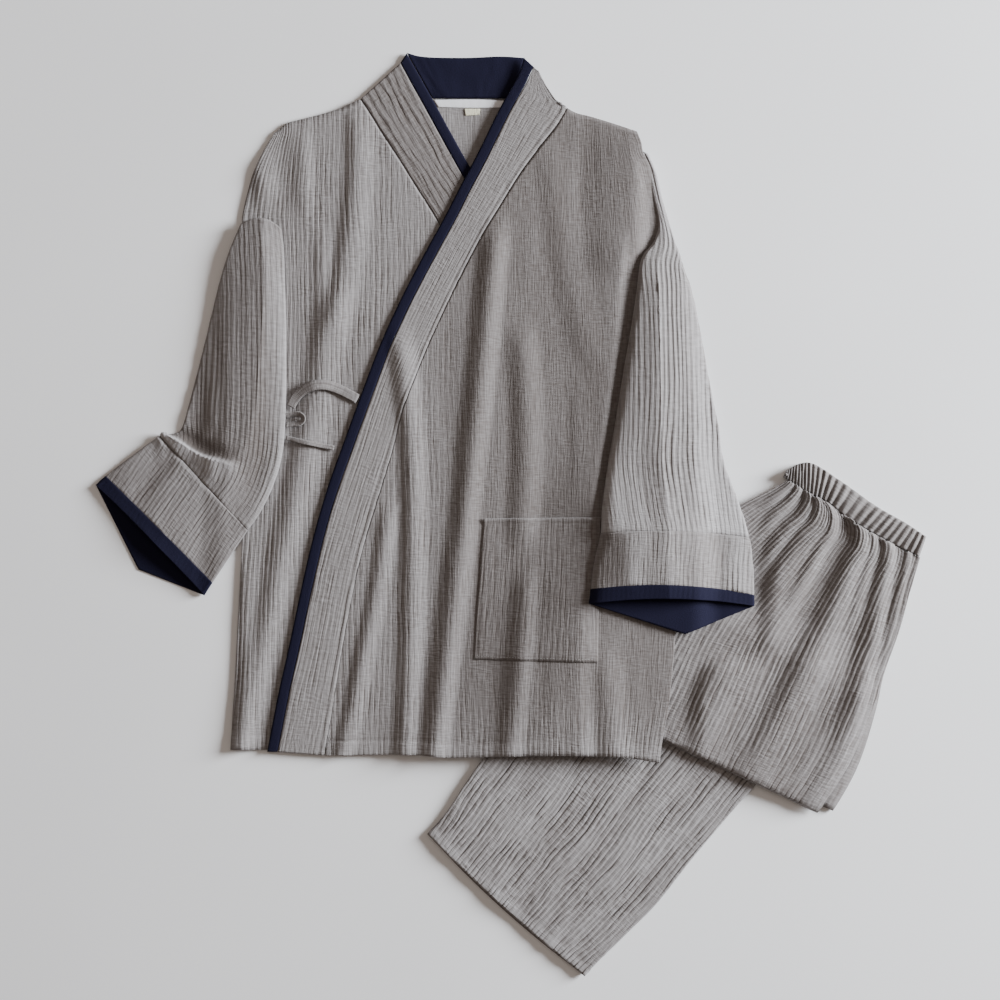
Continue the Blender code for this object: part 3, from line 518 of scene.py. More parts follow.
def crinkles(u, v, seed, pitch):
    """Height of the rounded cords, from about -1 to 1."""
    phase = cord_phase(u, v, seed, pitch)
    height = 0.75 + 0.35 * noise(np.floor(phase) + 0.5, v / 38, seed + 2)
    patch = 0.85 + 0.35 * noise(u / 50, v / 80, seed + 5)
    return -patch * height * np.cos(2 * np.pi * phase)


def swells(u, v, seed):
    """Soft folds a few centimetres wide."""
    bend = 6 * noise(u / 50, v / 60, seed + 2)
    return noise((u + bend) / 12, v / 95, seed) * 0.6 + noise((u + bend) / 25, v / 170, seed + 1) * 0.5


print("cords every", PITCH, "mm")

# %% [markdown]
# ## Cloth
#
# A piece is a fine grid placed on its surface, moved out along its own normals by the crinkles, and
# given its thickness by Solidify. It keeps a UV map in tenths of a metre down the grain. Its points
# also keep the height of the crinkles, the phase of the cords, how strong the painted shade in their
# valleys is and the piece's painted light and shade, for the material.

# %%
# A panel
CLOTH = 1.2  # wall of crinkled double gauze
WALL = 1.0  # the cloth's own wall, a little thinner than the solid's
BOX_SHIFT = (-0.25, 0.34)  # moves the set so that its box is centred on the origin
STEP = 1e-4  # how far apart, in shares of a panel, two points are taken for a slope


def facing(place, u, v, around):
    """Points of a surface with their outward normals."""
    point = np.stack(np.broadcast_arrays(*place(u, v)), -1)
    across = np.stack(place(u + STEP, v), -1) - np.stack(place(u - STEP, v), -1)
    along = np.stack(place(u, v + STEP), -1) - np.stack(place(u, v - STEP), -1)
    normal = np.cross(across, along)
    normal /= np.maximum(np.linalg.norm(normal, axis=-1, keepdims=True), 1e-12)
    if around:
        test_u, test_v = np.array([0.25]), np.array([float(np.mean(v))])
        a = np.stack(place(test_u + STEP, test_v), -1) - np.stack(place(test_u - STEP, test_v), -1)
        b = np.stack(place(test_u, test_v + STEP), -1) - np.stack(place(test_u, test_v - STEP), -1)
        sign = np.sign(np.cross(a, b)[0, 2])
    else:
        sign = np.where(normal[..., 2:] < 0, -1, 1)
    return point, normal * sign


class Panel:
    """One piece of cloth: its surface, its grain in millimetres and the height raised in it."""

    # The last two arguments set the strength of the painted shade in the cord valleys and the piece's
    # painted light and shade level.
    def __init__(self, place, grain, relief, lift=0.0, around=False, seed=1, pitch=PITCH, depth=0.4,
                 tone=0.4):
        self.place, self.grain, self.relief = place, grain, relief
        self.lift, self.around = lift, around
        self.seed, self.pitch, self.depth, self.tone = seed, pitch, depth, tone

    def top(self, u, v):
        point, normal = facing(self.place, u, v, self.around)
        height = self.relief(u, v)
        shift = np.array([BOX_SHIFT[0], BOX_SHIFT[1], 0.0])
        return (point + shift + normal * (self.lift + height)[..., None]) / 1000, height


# %%
# Mesh of a panel
def build(name, panel, across, along, finish, wall):
    across, along = np.asarray(across, float), np.asarray(along, float)
    bm = bmesh.new()
    bmesh.ops.create_grid(bm, x_segments=len(across) - 1, y_segments=len(along) - 1, size=0.5)
    upper = [face for face in bm.faces if not panel.around or face.calc_center_median().x < 0]
    column = np.array([round((vert.co.x + 0.5) * (len(across) - 1)) for vert in bm.verts])
    row = np.array([round((vert.co.y + 0.5) * (len(along) - 1)) for vert in bm.verts])
    u, v = across[column], along[row]
    points, height = panel.top(u, v)
    grain_u, grain_v = panel.grain(u, v)
    phase = cord_phase(grain_u, grain_v, panel.seed, panel.pitch)
    depth = bm.verts.layers.float.new("crinkle")
    cord = bm.verts.layers.float.new("cord")
    # Per point: the strength of the painted shade in the cord valleys, and the piece's painted light and
    # shade.
    dark = bm.verts.layers.float.new("painted_valley_shade")
    tone = bm.verts.layers.float.new("tone")
    depths, painted_light_values = (
        given(*(1000 * points[:, :2].T)) if callable(given) else np.full(len(points), given)
        for given in (panel.depth, panel.tone)
    )
    own = 0.6 + 0.8 * noise(np.round(phase) + 0.5, grain_v / 42, panel.seed + 7)
    depths = depths * np.clip(own, 0, None)
    for vert, point, h, p, d, t in zip(bm.verts, points, height, phase, depths, painted_light_values):
        vert.co = point
        vert[depth] = h
        vert[cord] = p
        vert[dark] = d
        vert[tone] = t
    uv = bm.loops.layers.uv.new("grain")
    bm.verts.index_update()
    for face in bm.faces:
        for loop in face.loops:
            i = loop.vert.index
            loop[uv].uv = (grain_u[i] / 100, grain_v[i] / 100)
    bm.normal_update()
    if sum(face.normal.z for face in upper) < 0:
        bmesh.ops.reverse_faces(bm, faces=bm.faces)
    if panel.around:
        bmesh.ops.remove_doubles(bm, verts=bm.verts, dist=2e-6)
    mesh = bpy.data.meshes.new(name)
    bm.to_mesh(mesh)
    bm.free()
    mesh.materials.append(finish)
    mesh.shade_smooth()
    piece = bpy.data.objects.new(name, mesh)
    bpy.context.scene.collection.objects.link(piece)
    if wall:
        solidify = piece.modifiers.new("Thickness", "SOLIDIFY")
        solidify.thickness = wall / 1000
        solidify.offset = -1
    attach(piece, "root")
    return piece


# %%
# A piece of cloth
PIECES = []


def cloth(node, panel, across, along, finish, wall, flat, area=None):
    piece = build(node + "_cloth", panel, across, along, finish, wall)
    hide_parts(node)
    PIECES.append(piece)
    share = sum(face.area for face in piece.data.polygons) / (area or flat[0] * flat[1])
    print(piece.name, len(piece.data.polygons), "faces,", round(share, 2), "of its flat area")
    return piece


# %%
# Steps along a panel
def spread(start, end, steps):
    return np.linspace(start, end, steps + 1)


def by(start, end, step):
    return np.linspace(start, end, max(1, round(abs(end - start) / step)) + 1)


def round_tube(top_steps, low_steps):
    """Shares round a flattened tube, close together at its two side edges."""
    edge = [-1, -0.9985, -0.993, -0.982, -0.966]
    top = np.concatenate([edge, np.linspace(-0.945, 0.945, top_steps), -np.array(edge[::-1])])
    low = np.concatenate([edge[1:], np.linspace(-0.945, 0.945, low_steps), -np.array(edge[::-1])[:-1]])
    top_share = np.arccos(-top) / (2 * np.pi)
    low_share = 1 - np.arccos(-low) / (2 * np.pi)
    return np.concatenate([top_share, low_share[::-1], [1.0]])


print("round a sleeve:", len(round_tube(130, 30)), "steps")

# %% [markdown]
# ## Node maths
#
# A material's maths is easier to read as Python than as a web of nodes. A small class wraps a
# socket, and each sum on it adds the Math node it needs.

# %%
# Node maths
class Sum:
    """A float socket that can be added, multiplied and so on."""

    def __init__(self, tree, socket):
        self.tree, self.socket = tree, socket

    def math(self, operation, first, second, third=None):
        node = self.tree.nodes.new("ShaderNodeMath")
        node.operation = operation
        for slot_in, value in zip(node.inputs, (first, second, third)):
            if value is None:
                continue
            if isinstance(value, Sum):
                self.tree.links.new(value.socket, slot_in)
            else:
                slot_in.default_value = value
        return Sum(self.tree, node.outputs[0])

    def __add__(self, other):
        return self.math("ADD", self, other)

    def __radd__(self, other):
        return self.math("ADD", other, self)

    def __sub__(self, other):
        return self.math("SUBTRACT", self, other)

    def __rsub__(self, other):
        return self.math("SUBTRACT", other, self)

    def __mul__(self, other):
        return self.math("MULTIPLY", self, other)

    def __rmul__(self, other):
        return self.math("MULTIPLY", other, self)

    def __truediv__(self, other):
        return self.math("DIVIDE", self, other)

    def __rtruediv__(self, other):
        return self.math("DIVIDE", other, self)

    def math_of(self, operation):
        return self.math(operation, self, None)

    def clamp(self, low, high):
        return self.math("MINIMUM", self.math("MAXIMUM", self, low), high)


# %%
# Materials
class Shader:
    """A Principled material and its node tree."""

    def __init__(self, name, colour, roughness):
        self.material = bpy.data.materials.new(name)
        self.material.use_nodes = True
        self.tree = self.material.node_tree
        self.principled = self.tree.nodes["Principled BSDF"]
        self.principled.inputs["Base Color"].default_value = (*colour, 1)
        self.principled.inputs["Roughness"].default_value = roughness
        self.principled.inputs["Metallic"].default_value = 0.0
        self.material.diffuse_color = (*colour, 1)

    def node(self, kind, settings=None, **inputs):
        made = self.tree.nodes.new(kind)
        for key, value in (settings or {}).items():
            setattr(made, key, value)
        for key, value in inputs.items():
            self.set(made.inputs[key.replace("_", " ")], value)
        return made

    def set(self, socket, value):
        if isinstance(value, Sum):
            value = value.socket
        if isinstance(value, bpy.types.NodeSocket):
            self.tree.links.new(value, socket)
        else:
            socket.default_value = value

    def grain(self, across, along):
        """The cloth's own UV, scaled apart across and along the grain."""
        uv = self.node("ShaderNodeUVMap", {"uv_map": "grain"})
        scaled = self.node("ShaderNodeVectorMath", {"operation": "MULTIPLY"})
        self.set(scaled.inputs[0], uv.outputs["UV"])
        self.set(scaled.inputs[1], (across, along, 1))
        return scaled.outputs[0]

    def noise(self, vector, scale, detail=1.0):
        made = self.node("ShaderNodeTexNoise", Vector=vector, Scale=scale, Detail=detail)
        return Sum(self.tree, made.outputs[0])

    def attribute(self, name):
        made = self.node("ShaderNodeAttribute", {"attribute_name": name})
        return Sum(self.tree, made.outputs["Fac"])

    def mix(self, factor, first, second):
        made = self.node("ShaderNodeMix", {"data_type": "RGBA"})
        self.set(made.inputs["Factor"], factor)
        for socket, value in zip([s for s in made.inputs if s.type == "RGBA"], (first, second)):
            self.set(socket, value)
        return next(s for s in made.outputs if s.type == "RGBA")

    def bump(self, height, distance, strength=1.0):
        made = self.node("ShaderNodeBump", Strength=strength, Distance=distance, Height=height)
        self.set(self.principled.inputs["Normal"], made.outputs["Normal"])


# %% [markdown]
# ## Gauze
#
# The gauze is a matt cotton. Its colour carries painted light on the raised cords and painted shade in
# the valleys between them, and each piece has a painted light and shade level of its own. An image
# could hold this, but the phase on the points draws the valleys exactly where the mesh has them.
# Stretched noise breaks them up, and finer noise across the grain gives the threads, as colour and as
# a bump.

# %%
# Gauze
# The dark end is the warm colour that the painted shade reaches.
GAUZE_LOW = (0.125, 0.108, 0.100, 1)
GAUZE_HIGH = (0.35, 0.335, 0.335, 1)


def gauze_material():
    shader = Shader("grey_gauze", (0.34, 0.33, 0.33), 0.95)
    cord = shader.attribute("cord") + shader.noise(shader.grain(1.0, 0.4), 14.0, 1.0) * 0.3
    ridge = (cord * math.pi).math_of("SINE").math_of("ABSOLUTE")
    # Painted shade in the valleys between the cords, broken up by noise.
    valley_shade_strength = shader.attribute("painted_valley_shade")
    painted_valley_shade = (1.0 - ridge) * (1.0 - ridge) * valley_shade_strength
    breaks = (shader.noise(shader.grain(1.0, 0.18), 12.0, 2.0) * 3.0 - 0.75).clamp(0.05, 1.4)
    down = shader.noise(shader.grain(1.0, 0.09), 60.0, 1.0)
    cross = shader.noise(shader.grain(0.2, 1.0), 50.0, 1.0)
    patch = shader.noise(shader.grain(1.0, 0.7), 3.0, 1.0)
    raised = shader.attribute("crinkle")
    # Painted light and shade: the piece's painted level, and its raised cords painted lighter.
    base = 0.13 + shader.attribute("tone") * 0.6 + raised * 0.15
    threads = (down - 0.5) * (0.3 + valley_shade_strength * 0.5) + (cross - 0.5) * (0.8 + valley_shade_strength * 1.2) * patch
    level = base - painted_valley_shade * breaks * 0.75 + threads
    colour = shader.mix(level.clamp(0.0, 1.0), GAUZE_LOW, GAUZE_HIGH)
    shader.set(shader.principled.inputs["Base Color"], colour)
    shader.principled.inputs["Sheen Weight"].default_value = 0.15
    shader.principled.inputs["Specular IOR Level"].default_value = 0.2
    shader.bump(down * 0.5 + cross * 0.8 * patch - painted_valley_shade * breaks * 0.7, 0.0011)
    return shader.material


# %% [markdown]
# ## Binding, tape, tab and thread
#
# The binding is a plain navy weave. The tape, the tab and the thread are plain too, so a tone that
# wavers a little and a faint bump are enough.

# %%
# Binding and plain materials
def binding_material():
    shader = Shader("navy_binding", (0.010, 0.011, 0.030), 0.85)
    weave = shader.noise(shader.grain(1.0, 1.0), 90.0, 1.0)
    colour = shader.mix(weave.clamp(0.0, 1.0), (0.004, 0.0038, 0.012, 1), (0.011, 0.0105, 0.029, 1))
    shader.set(shader.principled.inputs["Base Color"], colour)
    shader.principled.inputs["Specular IOR Level"].default_value = 0.12
    shader.bump(weave, 0.0003)
    return shader.material


def plain_material(name, colour, place=None, scale=120.0):
    """A plain surface whose tone wavers a little; place is where its noise is read."""
    shader = Shader(name, colour, 0.9)
    if place:
        vector = shader.node("ShaderNodeTexCoord").outputs[place]
    else:
        vector = shader.grain(1.0, 1.0)
    weave = shader.noise(vector, scale, 1.0)
    darker = tuple(0.9 * channel for channel in colour)
    tone = shader.mix(weave.clamp(0.0, 1.0), (*darker, 1), (*colour, 1))
    shader.set(shader.principled.inputs["Base Color"], tone)
    shader.bump(weave, 0.0002)
    return shader.material


GAUZE = gauze_material()
BINDING = binding_material()
TAPE = plain_material("white_tape", (0.80, 0.80, 0.82))
TAB = plain_material("cream_tab", (0.72, 0.69, 0.52))
THREAD_GREY = plain_material("grey_thread", (0.38, 0.37, 0.37), "Object", 400.0)
print("materials:", [material.name for material in (GAUZE, BINDING, TAPE, TAB, THREAD_GREY)])

# %% [markdown]
# ## Back and fronts
#
# The back lies lowest, then the under front, then the over front. Their relief adds three sizes of
# form: the cords, soft swells a few centimetres wide, and the turned hem with its stitched groove.
# The long folds are in the surface itself.

# %%
# Relief of the body
CRINKLE = 0.48  # height of the gauze's ridges
HEM = 16.0  # depth of the turned hem
BODY_SWELL = 0.45  # height of its soft swells


def hem_relief(distance):
    """A turned hem: a little thicker, with the line of stitches pressed in above it."""
    groove = np.exp(-((distance - HEM) / 1.3) ** 2)
    return 0.5 * smooth((HEM - distance) / 2) - 0.7 * groove


# %%
# Strength of the crinkles
def even(x, y):
    return 0.6 + 0 * x


def inside_neck(x, y):
    return 0.2 + 0 * x


def calm_chest(x, y):
    """The over front is smooth beside the sleeve and on the chest, and crinkled near the hem."""
    right = smooth((x + 130) / 120)
    return 0.5 - 0.40 * right * smooth((y + 250) / 70)


# Painted shade: the over front is painted darker on the chest towards the right sleeve, where the sleeve's
# shade falls.
def chest_painted_shade(x, y):
    return 0.50 - 0.46 * smooth((x + 130) / 120) * smooth((y + 280) / 90)


# %%
# Body relief and grain
def body_relief(seed, hem_line, strength=even):
    def relief(place):
        def height(column, share):
            x, y, _ = place(column, share)
            above_hem = y - hem_line(x)
            ridges = CRINKLE * strength(x, y) * crinkles(column, y, seed, PITCH)
            soft = BODY_SWELL * swells(column, y, seed + 20)
            calm = 0.45 + 0.55 * smooth(np.abs(above_hem - HEM) / 6)
            return ridges * calm + soft + hem_relief(above_hem)

        return height

    return relief


def column_grain(place):
    def grain(column, share):
        return column, place(column, share)[1]

    return grain


LET_OUT = 4.0


def let_out(place):
    """The same panel let out along its right armhole, up to the sleeve that is sewn there."""

    def wider(column, share):
        x, y, z = place(column, share)
        x = x + LET_OUT * smooth((column - 170) / 11) * smooth((y - 296) / 12)
        return x, y, z

    return wider


def body_cloth(node, place, hem_line, seed, columns, rows, flat, area, strength=even, tone=0.6):
    relief = body_relief(seed, hem_line, strength)(place)
    panel = Panel(place, column_grain(place), relief, lift=CLOTH, seed=seed, depth=strength, tone=tone)
    cloth(node, panel, columns, rows, GAUZE, WALL, flat, area)
    return panel


# %%
# Back and fronts
body_cloth(
    "back", let_out(BACK), Line(BACK_HEM).y_at, 3,
    np.concatenate([by(-308.4, -95, 8), by(-90, 5, 1.8), by(12, 181.4, 8)]),
    np.concatenate([by(0, 0.14, 0.008), by(0.15, 1, 0.017)]),
    (0.49, 0.72), 0.335, inside_neck,
)
front_under = body_cloth(
    "front_under", FRONT_UNDER, Line(UNDER_HEM).y_at, 11,
    np.concatenate([by(-308.6, -50, 1.5), by(-42, 82, 8)]), by(0, 1, 0.0068),
    (0.39, 0.72), 0.215,
)
front_over = body_cloth(
    "front_over", let_out(FRONT_OVER), Line(OVER_HEM).y_at, 23,
    by(-204.4, 181.6, 1.5), by(0, 1, 0.0068),
    (0.39, 0.72), 0.205, calm_chest, chest_painted_shade,
)

# %% [markdown]
# ## Collar and binding
#
# The grey band is sewn to the fronts along one side and bound in navy along the other. Both are
# strips between two lines, so one function places them, and the binding's free edge is worked out
# from its sewn edge. A row of stitches presses a groove in beside the seam.

# %%
# Strips
SEAM = 0.4  # clear space between two sewn pieces


def strip(first, second, surface, inset=SEAM / 2):
    """A strip between two lines, drawn in by inset along both."""

    def place(across, share):
        ax, ay = first.at(share)
        bx, by = second.at(share)
        width = np.hypot(bx - ax, by - ay)
        part = inset / width + across * (1 - 2 * inset / width)
        x, y = ax + (bx - ax) * part, ay + (by - ay) * part
        return x, y, surface(x, y)

    return place


def bound_edge(rows, side, tip):
    """The binding's free edge: its sewn edge moved out square by its width, then squared at the hem."""
    sewn = np.array([(row.trim_x, row.trim_y) for row in rows], float)
    run = np.gradient(sewn, axis=0)
    run /= np.hypot(run[:, 0], run[:, 1])[:, None]
    free = sewn + side * TRIM_WIDTH * np.column_stack([-run[:, 1], run[:, 0]])
    free[0] = tip
    free[-1, 1] = sewn[-1, 1]
    return Line(free)


# %%
# Relief of the bands
BAND = 1.8  # collar band, two layers and a stay
BAND_SHELL = BAND - 0.3  # wall of its cloth, a little thinner than the solid
BAND_WIDTH = 44.0
BAND_STITCH = 5.5  # from the band's seam to its row of stitches


def band_grain(rows):
    line = Line([row[:2] for row in rows])
    length = np.hypot(*np.diff(line.dense[:, :2], axis=0).T).sum()

    def grain(across, share):
        return across * BAND_WIDTH, share * length

    return grain


def collar_relief(rows, seed, strength, pitch):
    grain = band_grain(rows)

    def height(across, share):
        u, v = grain(across, share)
        from_seam = (1 - across) * BAND_WIDTH
        ridges = CRINKLE * strength(share) * crinkles(u, v, seed, pitch)
        topstitch = -0.8 * np.exp(-((from_seam - BAND_STITCH) / 1.1) ** 2)
        pucker = 0.45 * noise(v / 4.5, u / 30, seed + 9) * smooth((9 - from_seam) / 5)
        rolled = -0.9 * smooth((2.0 - from_seam) / 2.0)
        return ridges * smooth((from_seam - 5) / 5) + topstitch + pucker + rolled

    return height


def over_band_strength(share):
    """The over band is nearly smooth at the neck and crinkled from the chest down."""
    return 0.2 + 0.3 * smooth((share - 0.3) / 0.3)


def under_band_strength(share):
    return 0.55 + 0 * share


# %%
# Collar bands and binding
TRIM_OVER_TIP = (14, 502)
TRIM_UNDER_TIP = (-115, 508)
BANDS = {}

for name, rows, surface, side, tip, seed, strength, pitch, length in (
    ("over", COLLAR_OVER, over_surface, -1, TRIM_OVER_TIP, 41, over_band_strength, 5.0, 0.83),
    ("under", COLLAR_UNDER, under_surface, 1, TRIM_UNDER_TIP, 47, under_band_strength, 6.0, 0.82),
):
    sewn, seam = edges(rows)
    free = bound_edge(rows, side, tip)
    shares = by(0, 1, 0.0048)
    lies_on = ["front_under_cloth"] if name == "over" else ["back_cloth"]
    relief = collar_relief(rows, seed, strength, pitch)
    # Painted valley shade strength and painted light and shade level of each band; the under band is painted
    # darker.
    depth, tone = (0.45, 0.62) if name == "over" else (0.62, 0.15)
    band = Panel(
        strip(sewn, seam, surface), band_grain(rows), relief,
        lift=BAND, seed=seed, pitch=pitch, depth=depth, tone=tone,
    )
    cloth(
        "collar_" + name, band, by(0, 1, 1 / 30), shares, GAUZE, BAND_SHELL,
        (0.045, length),
    )
    BANDS[name] = band

    def trim_relief(across, share, seed=seed):
        rounded = -0.45 * (2 * across - 1) ** 4
        return rounded + 0.12 * noise(share * 240, across * 2, seed)

    def trim_grain(across, share, length=length):
        return across * TRIM_WIDTH, share * length * 1000

    edge = Panel(strip(free, sewn, surface), trim_grain, trim_relief, lift=BAND)
    cloth(
        "trim_" + name, edge, by(0, 1, 1 / 8), shares, BINDING, BAND_SHELL,
        (0.012, length),
    )

# %% [markdown]
# ## Back of the neck
#
# Behind the neck the band stands up, and its navy inside shows. Below it a white tape covers the
# seam, with a small tab that is left blank. They are short strips of four or five points.

# %%
# Neck tables
# The back of the neck: upper and lower edge, from left to right
NeckRow = namedtuple("NeckRow", "top_x top_y low_x low_y")
NECK_FACING = [
    NeckRow(-115, 508.5, -86.4, 458),
    NeckRow(-95, 504, -72, 458),
    NeckRow(-51, 503, -45, 458),
    NeckRow(-12, 504.5, -22, 458),
    NeckRow(15.2, 503, 2, 458),
]
COLLAR_BACK = [
    NeckRow(-111, 506, -90, 461.0),
    NeckRow(-51, 501, -50, 461.0),
    NeckRow(11, 503, -11, 461.0),
]
NECK_TAPE = [
    NeckRow(-85.5, 456.8, -80.5, 448.5),
    NeckRow(-45, 457.4, -45, 447.6),
    NeckRow(-6.5, 456.0, -9, 448.0),
]
SIZE_TAB = [NeckRow(-51, 447, -50, 439), NeckRow(-34, 447, -35, 440)]

# %%
# Neck pieces
TAPE_LEVEL = 1.5  # underside of the tape and tab, above the back
FACING_LEVEL = 2.0  # underside of the navy facing, above the collar's back


def flat_at(level):
    return lambda x, y: np.full_like(x, level)


def flat_grain(width, length):
    def grain(across, share):
        return across * width, share * length

    return grain


def neck_piece(node, rows, level, finish, wall, relief, flat):
    place = strip(*edges(rows), flat_at(level))
    grain = flat_grain(flat[0] * 1000, flat[1] * 1000)
    panel = Panel(place, grain, relief, lift=wall)
    cloth(node, panel, by(0, 1, 1 / 14), by(0, 1, 1 / 40), finish, wall, flat)


def neck_relief(across, share):
    return 0.5 * noise(share * 7, across * 2, 61) + 0.25 * noise(share * 25, across * 3, 62)


def tape_relief(across, share):
    return -0.3 * (2 * across - 1) ** 4 + 0.1 * noise(share * 30, across, 64)


neck_piece(
    "collar_back", COLLAR_BACK, 0.0, GAUZE, 1.4, neck_relief, (0.045, 0.11),
)
neck_piece(
    "neck_facing", NECK_FACING, FACING_LEVEL, BINDING, 1.0, neck_relief,
    (0.048, 0.11),
)
neck_piece(
    "neck_tape", NECK_TAPE, TAPE_LEVEL, TAPE, 0.8, tape_relief,
    (0.0105, 0.077),
)
neck_piece(
    "size_tab", SIZE_TAB, TAPE_LEVEL, TAB, 0.8, tape_relief,
    (0.0100, 0.0125),
)

# %% [markdown]
# ## Pocket
#
# It is a patch on the over front. Its points are the front's own, moved out, so that it follows the
# folds beneath it as a sewn patch does. Its upper edge is turned, and a row of stitches runs round
# the rest.

# %%
# Pocket
POCKET = [LegRow(-30, -5.5, 99, -4), LegRow(-34, -60, 98, -60), LegRow(-38, -110, 96, -110),
          LegRow(-41, -160, 95, -163)]
POCKET_LIFT = 2.86  # underside of the pocket, above the over front's underside
POCKET_SUNK = 1.2  # how much nearer the thin cloth lies than the solid
POCKET_WIDE = 135
POCKET_DEEP = 158
POCKET_STITCH = 3.5  # from the pocket's edge to its stitches


def on_front(x, y):
    return over_surface(x, y) + POCKET_LIFT - POCKET_SUNK


def pocket_relief(across, share):
    u, v = across * POCKET_WIDE, share * POCKET_DEEP
    from_side = np.minimum(u, POCKET_WIDE - u)
    from_end = np.minimum(v, POCKET_DEEP - v)
    rim = np.minimum(from_side, from_end)
    ridges = 0.35 * CRINKLE * crinkles(u, v, 71, PITCH) * smooth(rim / 6)
    stitches = -0.5 * np.exp(-((rim - POCKET_STITCH) / 1.0) ** 2) * (v > 3)
    rolled = -0.8 * smooth((2.5 - rim) / 2.5) * (v > 4)
    lip = 1.2 * np.exp(-(v / 2.5) ** 2)
    return ridges + stitches + rolled + lip


# The pocket is painted darker, as painted shade like that on the chest around it.
pocket = Panel(
    strip(*edges(POCKET), on_front, 0), flat_grain(POCKET_WIDE, POCKET_DEEP), pocket_relief,
    lift=CLOTH, seed=71, depth=0.3, tone=0.1,
)
cloth(
    "pocket", pocket, by(0, 1, 1 / 90), by(0, 1, 1 / 50), GAUZE, WALL,
    (0.137, 0.16),
)

# %% [markdown]
# ## Sleeves
#
# Each sleeve is one flattened tube, cut at the cuff and at the navy binding. A cylinder squashed by
# a lattice would lose the even cords, so the tube is placed by its table. It lies lower by the
# armhole and rises onto the body and the trousers.

# %%
# What a sleeve lies on
ARM_LEFT_LEVEL = 4.1  # left sleeve where it lies on the body
ARM_RIGHT_LEVEL = 9.6  # right sleeve where it lies on the body and pocket
ARMHOLE_LEVEL = 3.6  # and beside the shoulder
ARMHOLE_Y = 326.0  # where the right sleeve starts to rise from the armhole's level
ARMHOLE_RAMP = 48.0
ARM_OUTSIDE = 48.0  # how far outside the body's edge a sleeve starts to rise onto it
ARM_RAMP = 30.0


def arm_base(side, x, y):
    """What a sleeve's lower wall lies on: the body's side, and the table or the trousers past it."""
    level = ARM_LEFT_LEVEL
    sign = 1
    if side == "right":
        risen = smooth((ARMHOLE_Y - y) / ARMHOLE_RAMP)
        level = ARMHOLE_LEVEL + (ARM_RIGHT_LEVEL - ARMHOLE_LEVEL) * risen
        sign = -1
    in_from_side = sign * (x - SIDES[side].x_at(y))
    on_body = smooth((in_from_side + ARM_OUTSIDE) / ARM_RAMP)
    return ground(x, y) + level * on_body


# %%
# The flattened tube
ARM_EDGE = 5.0  # roundness of the flattened tube's side edges
REACH_PEAK = 0.16
CREST_POWER = 1.15
LEFT_SLOPE = 0.42  # how much of its height the right sleeve loses before its left edge


def arm(side, rows):
    """A sleeve, cuff and binding as one flattened tube. around goes 0 to 1 over the top and back."""
    left, right = edges(rows)
    sections = Line([row[4:] for row in rows])

    def place(around, share):
        height, crest, back, reach = sections.at(share)
        ax, ay = left.at(share)
        bx, by = right.at(share)
        half = np.hypot(bx - ax, by - ay) / 2
        c = -np.cos(2 * np.pi * around)
        upper = np.sin(2 * np.pi * around) >= -1e-9
        lean = np.where(c < crest, (c - crest) / (1 + crest), (c - crest) / (1 - crest))
        tent = np.where(c < REACH_PEAK, (1 + c) / (1 + REACH_PEAK), (1 - c) / (1 - REACH_PEAK))
        slide = np.where(upper, back * (1 - c * c), -reach * tent)
        x = (ax + bx) / 2 + c * (bx - ax) / 2 - (by - ay) / (2 * half) * slide
        y = (ay + by) / 2 + c * (by - ay) / 2 + (bx - ax) / (2 * half) * slide
        edge = np.minimum(ARM_EDGE, 1.6 * half)
        round_from = 1 - edge / 2 / half
        rounding = np.sqrt(1 - np.clip((np.abs(c) - round_from) / (1 - round_from), 0, 1) ** 2)
        drop = np.abs(lean) ** CREST_POWER
        if side == "right":
            from_left = LEFT_SLOPE * np.abs(lean) ** 1.05 + (1 - LEFT_SLOPE) * lean**16
            drop = np.where(lean < 0, from_left, np.abs(lean) ** 0.85)
        crown = (height - edge) * (1 - drop)
        lift = np.where(upper, edge / 2 + crown, -edge / 2)
        return x, y, arm_base(side, x, y) + edge / 2 + rounding * lift

    return place


ARMS = {"left": arm("left", ARM_LEFT), "right": arm("right", ARM_RIGHT)}

# %% [markdown]
# ### Elbow
#
# The left sleeve is bent at the elbow, where the forearm's edge rises in front of the upper arm. It
# is a ridge with a hollow behind it, along a short line.

# %%
# Elbow fold
CreaseRow = namedtuple("CreaseRow", "x y")
ELBOW = [
    CreaseRow(-392, 92), CreaseRow(-367, 80), CreaseRow(-340, 64), CreaseRow(-315, 57), CreaseRow(-285, 50),
]


def elbow(x, y):
    """The forearm's edge: a ridge below the crease and a sharp drop above it."""
    line = Line(ELBOW)
    below = line.y_at(x) - y
    fade = smooth((-288 - x) / 50) * smooth((x + 395) / 12)
    ridge = np.where(below > 0, np.exp(-np.clip(below, 0, None) / 16), np.exp(-((below / 2.6) ** 2)))
    hollow = np.where(below < 0, np.exp(-((below + 9) / 10) ** 2), 0)
    return fade * (5.5 * ridge - 3.5 * hollow)


# %%
# Relief of a sleeve
ARM_PITCH = 5.4
ARM_ROUND = 500.0  # more than the way round a sleeve, so that the lower wall has cords of its own


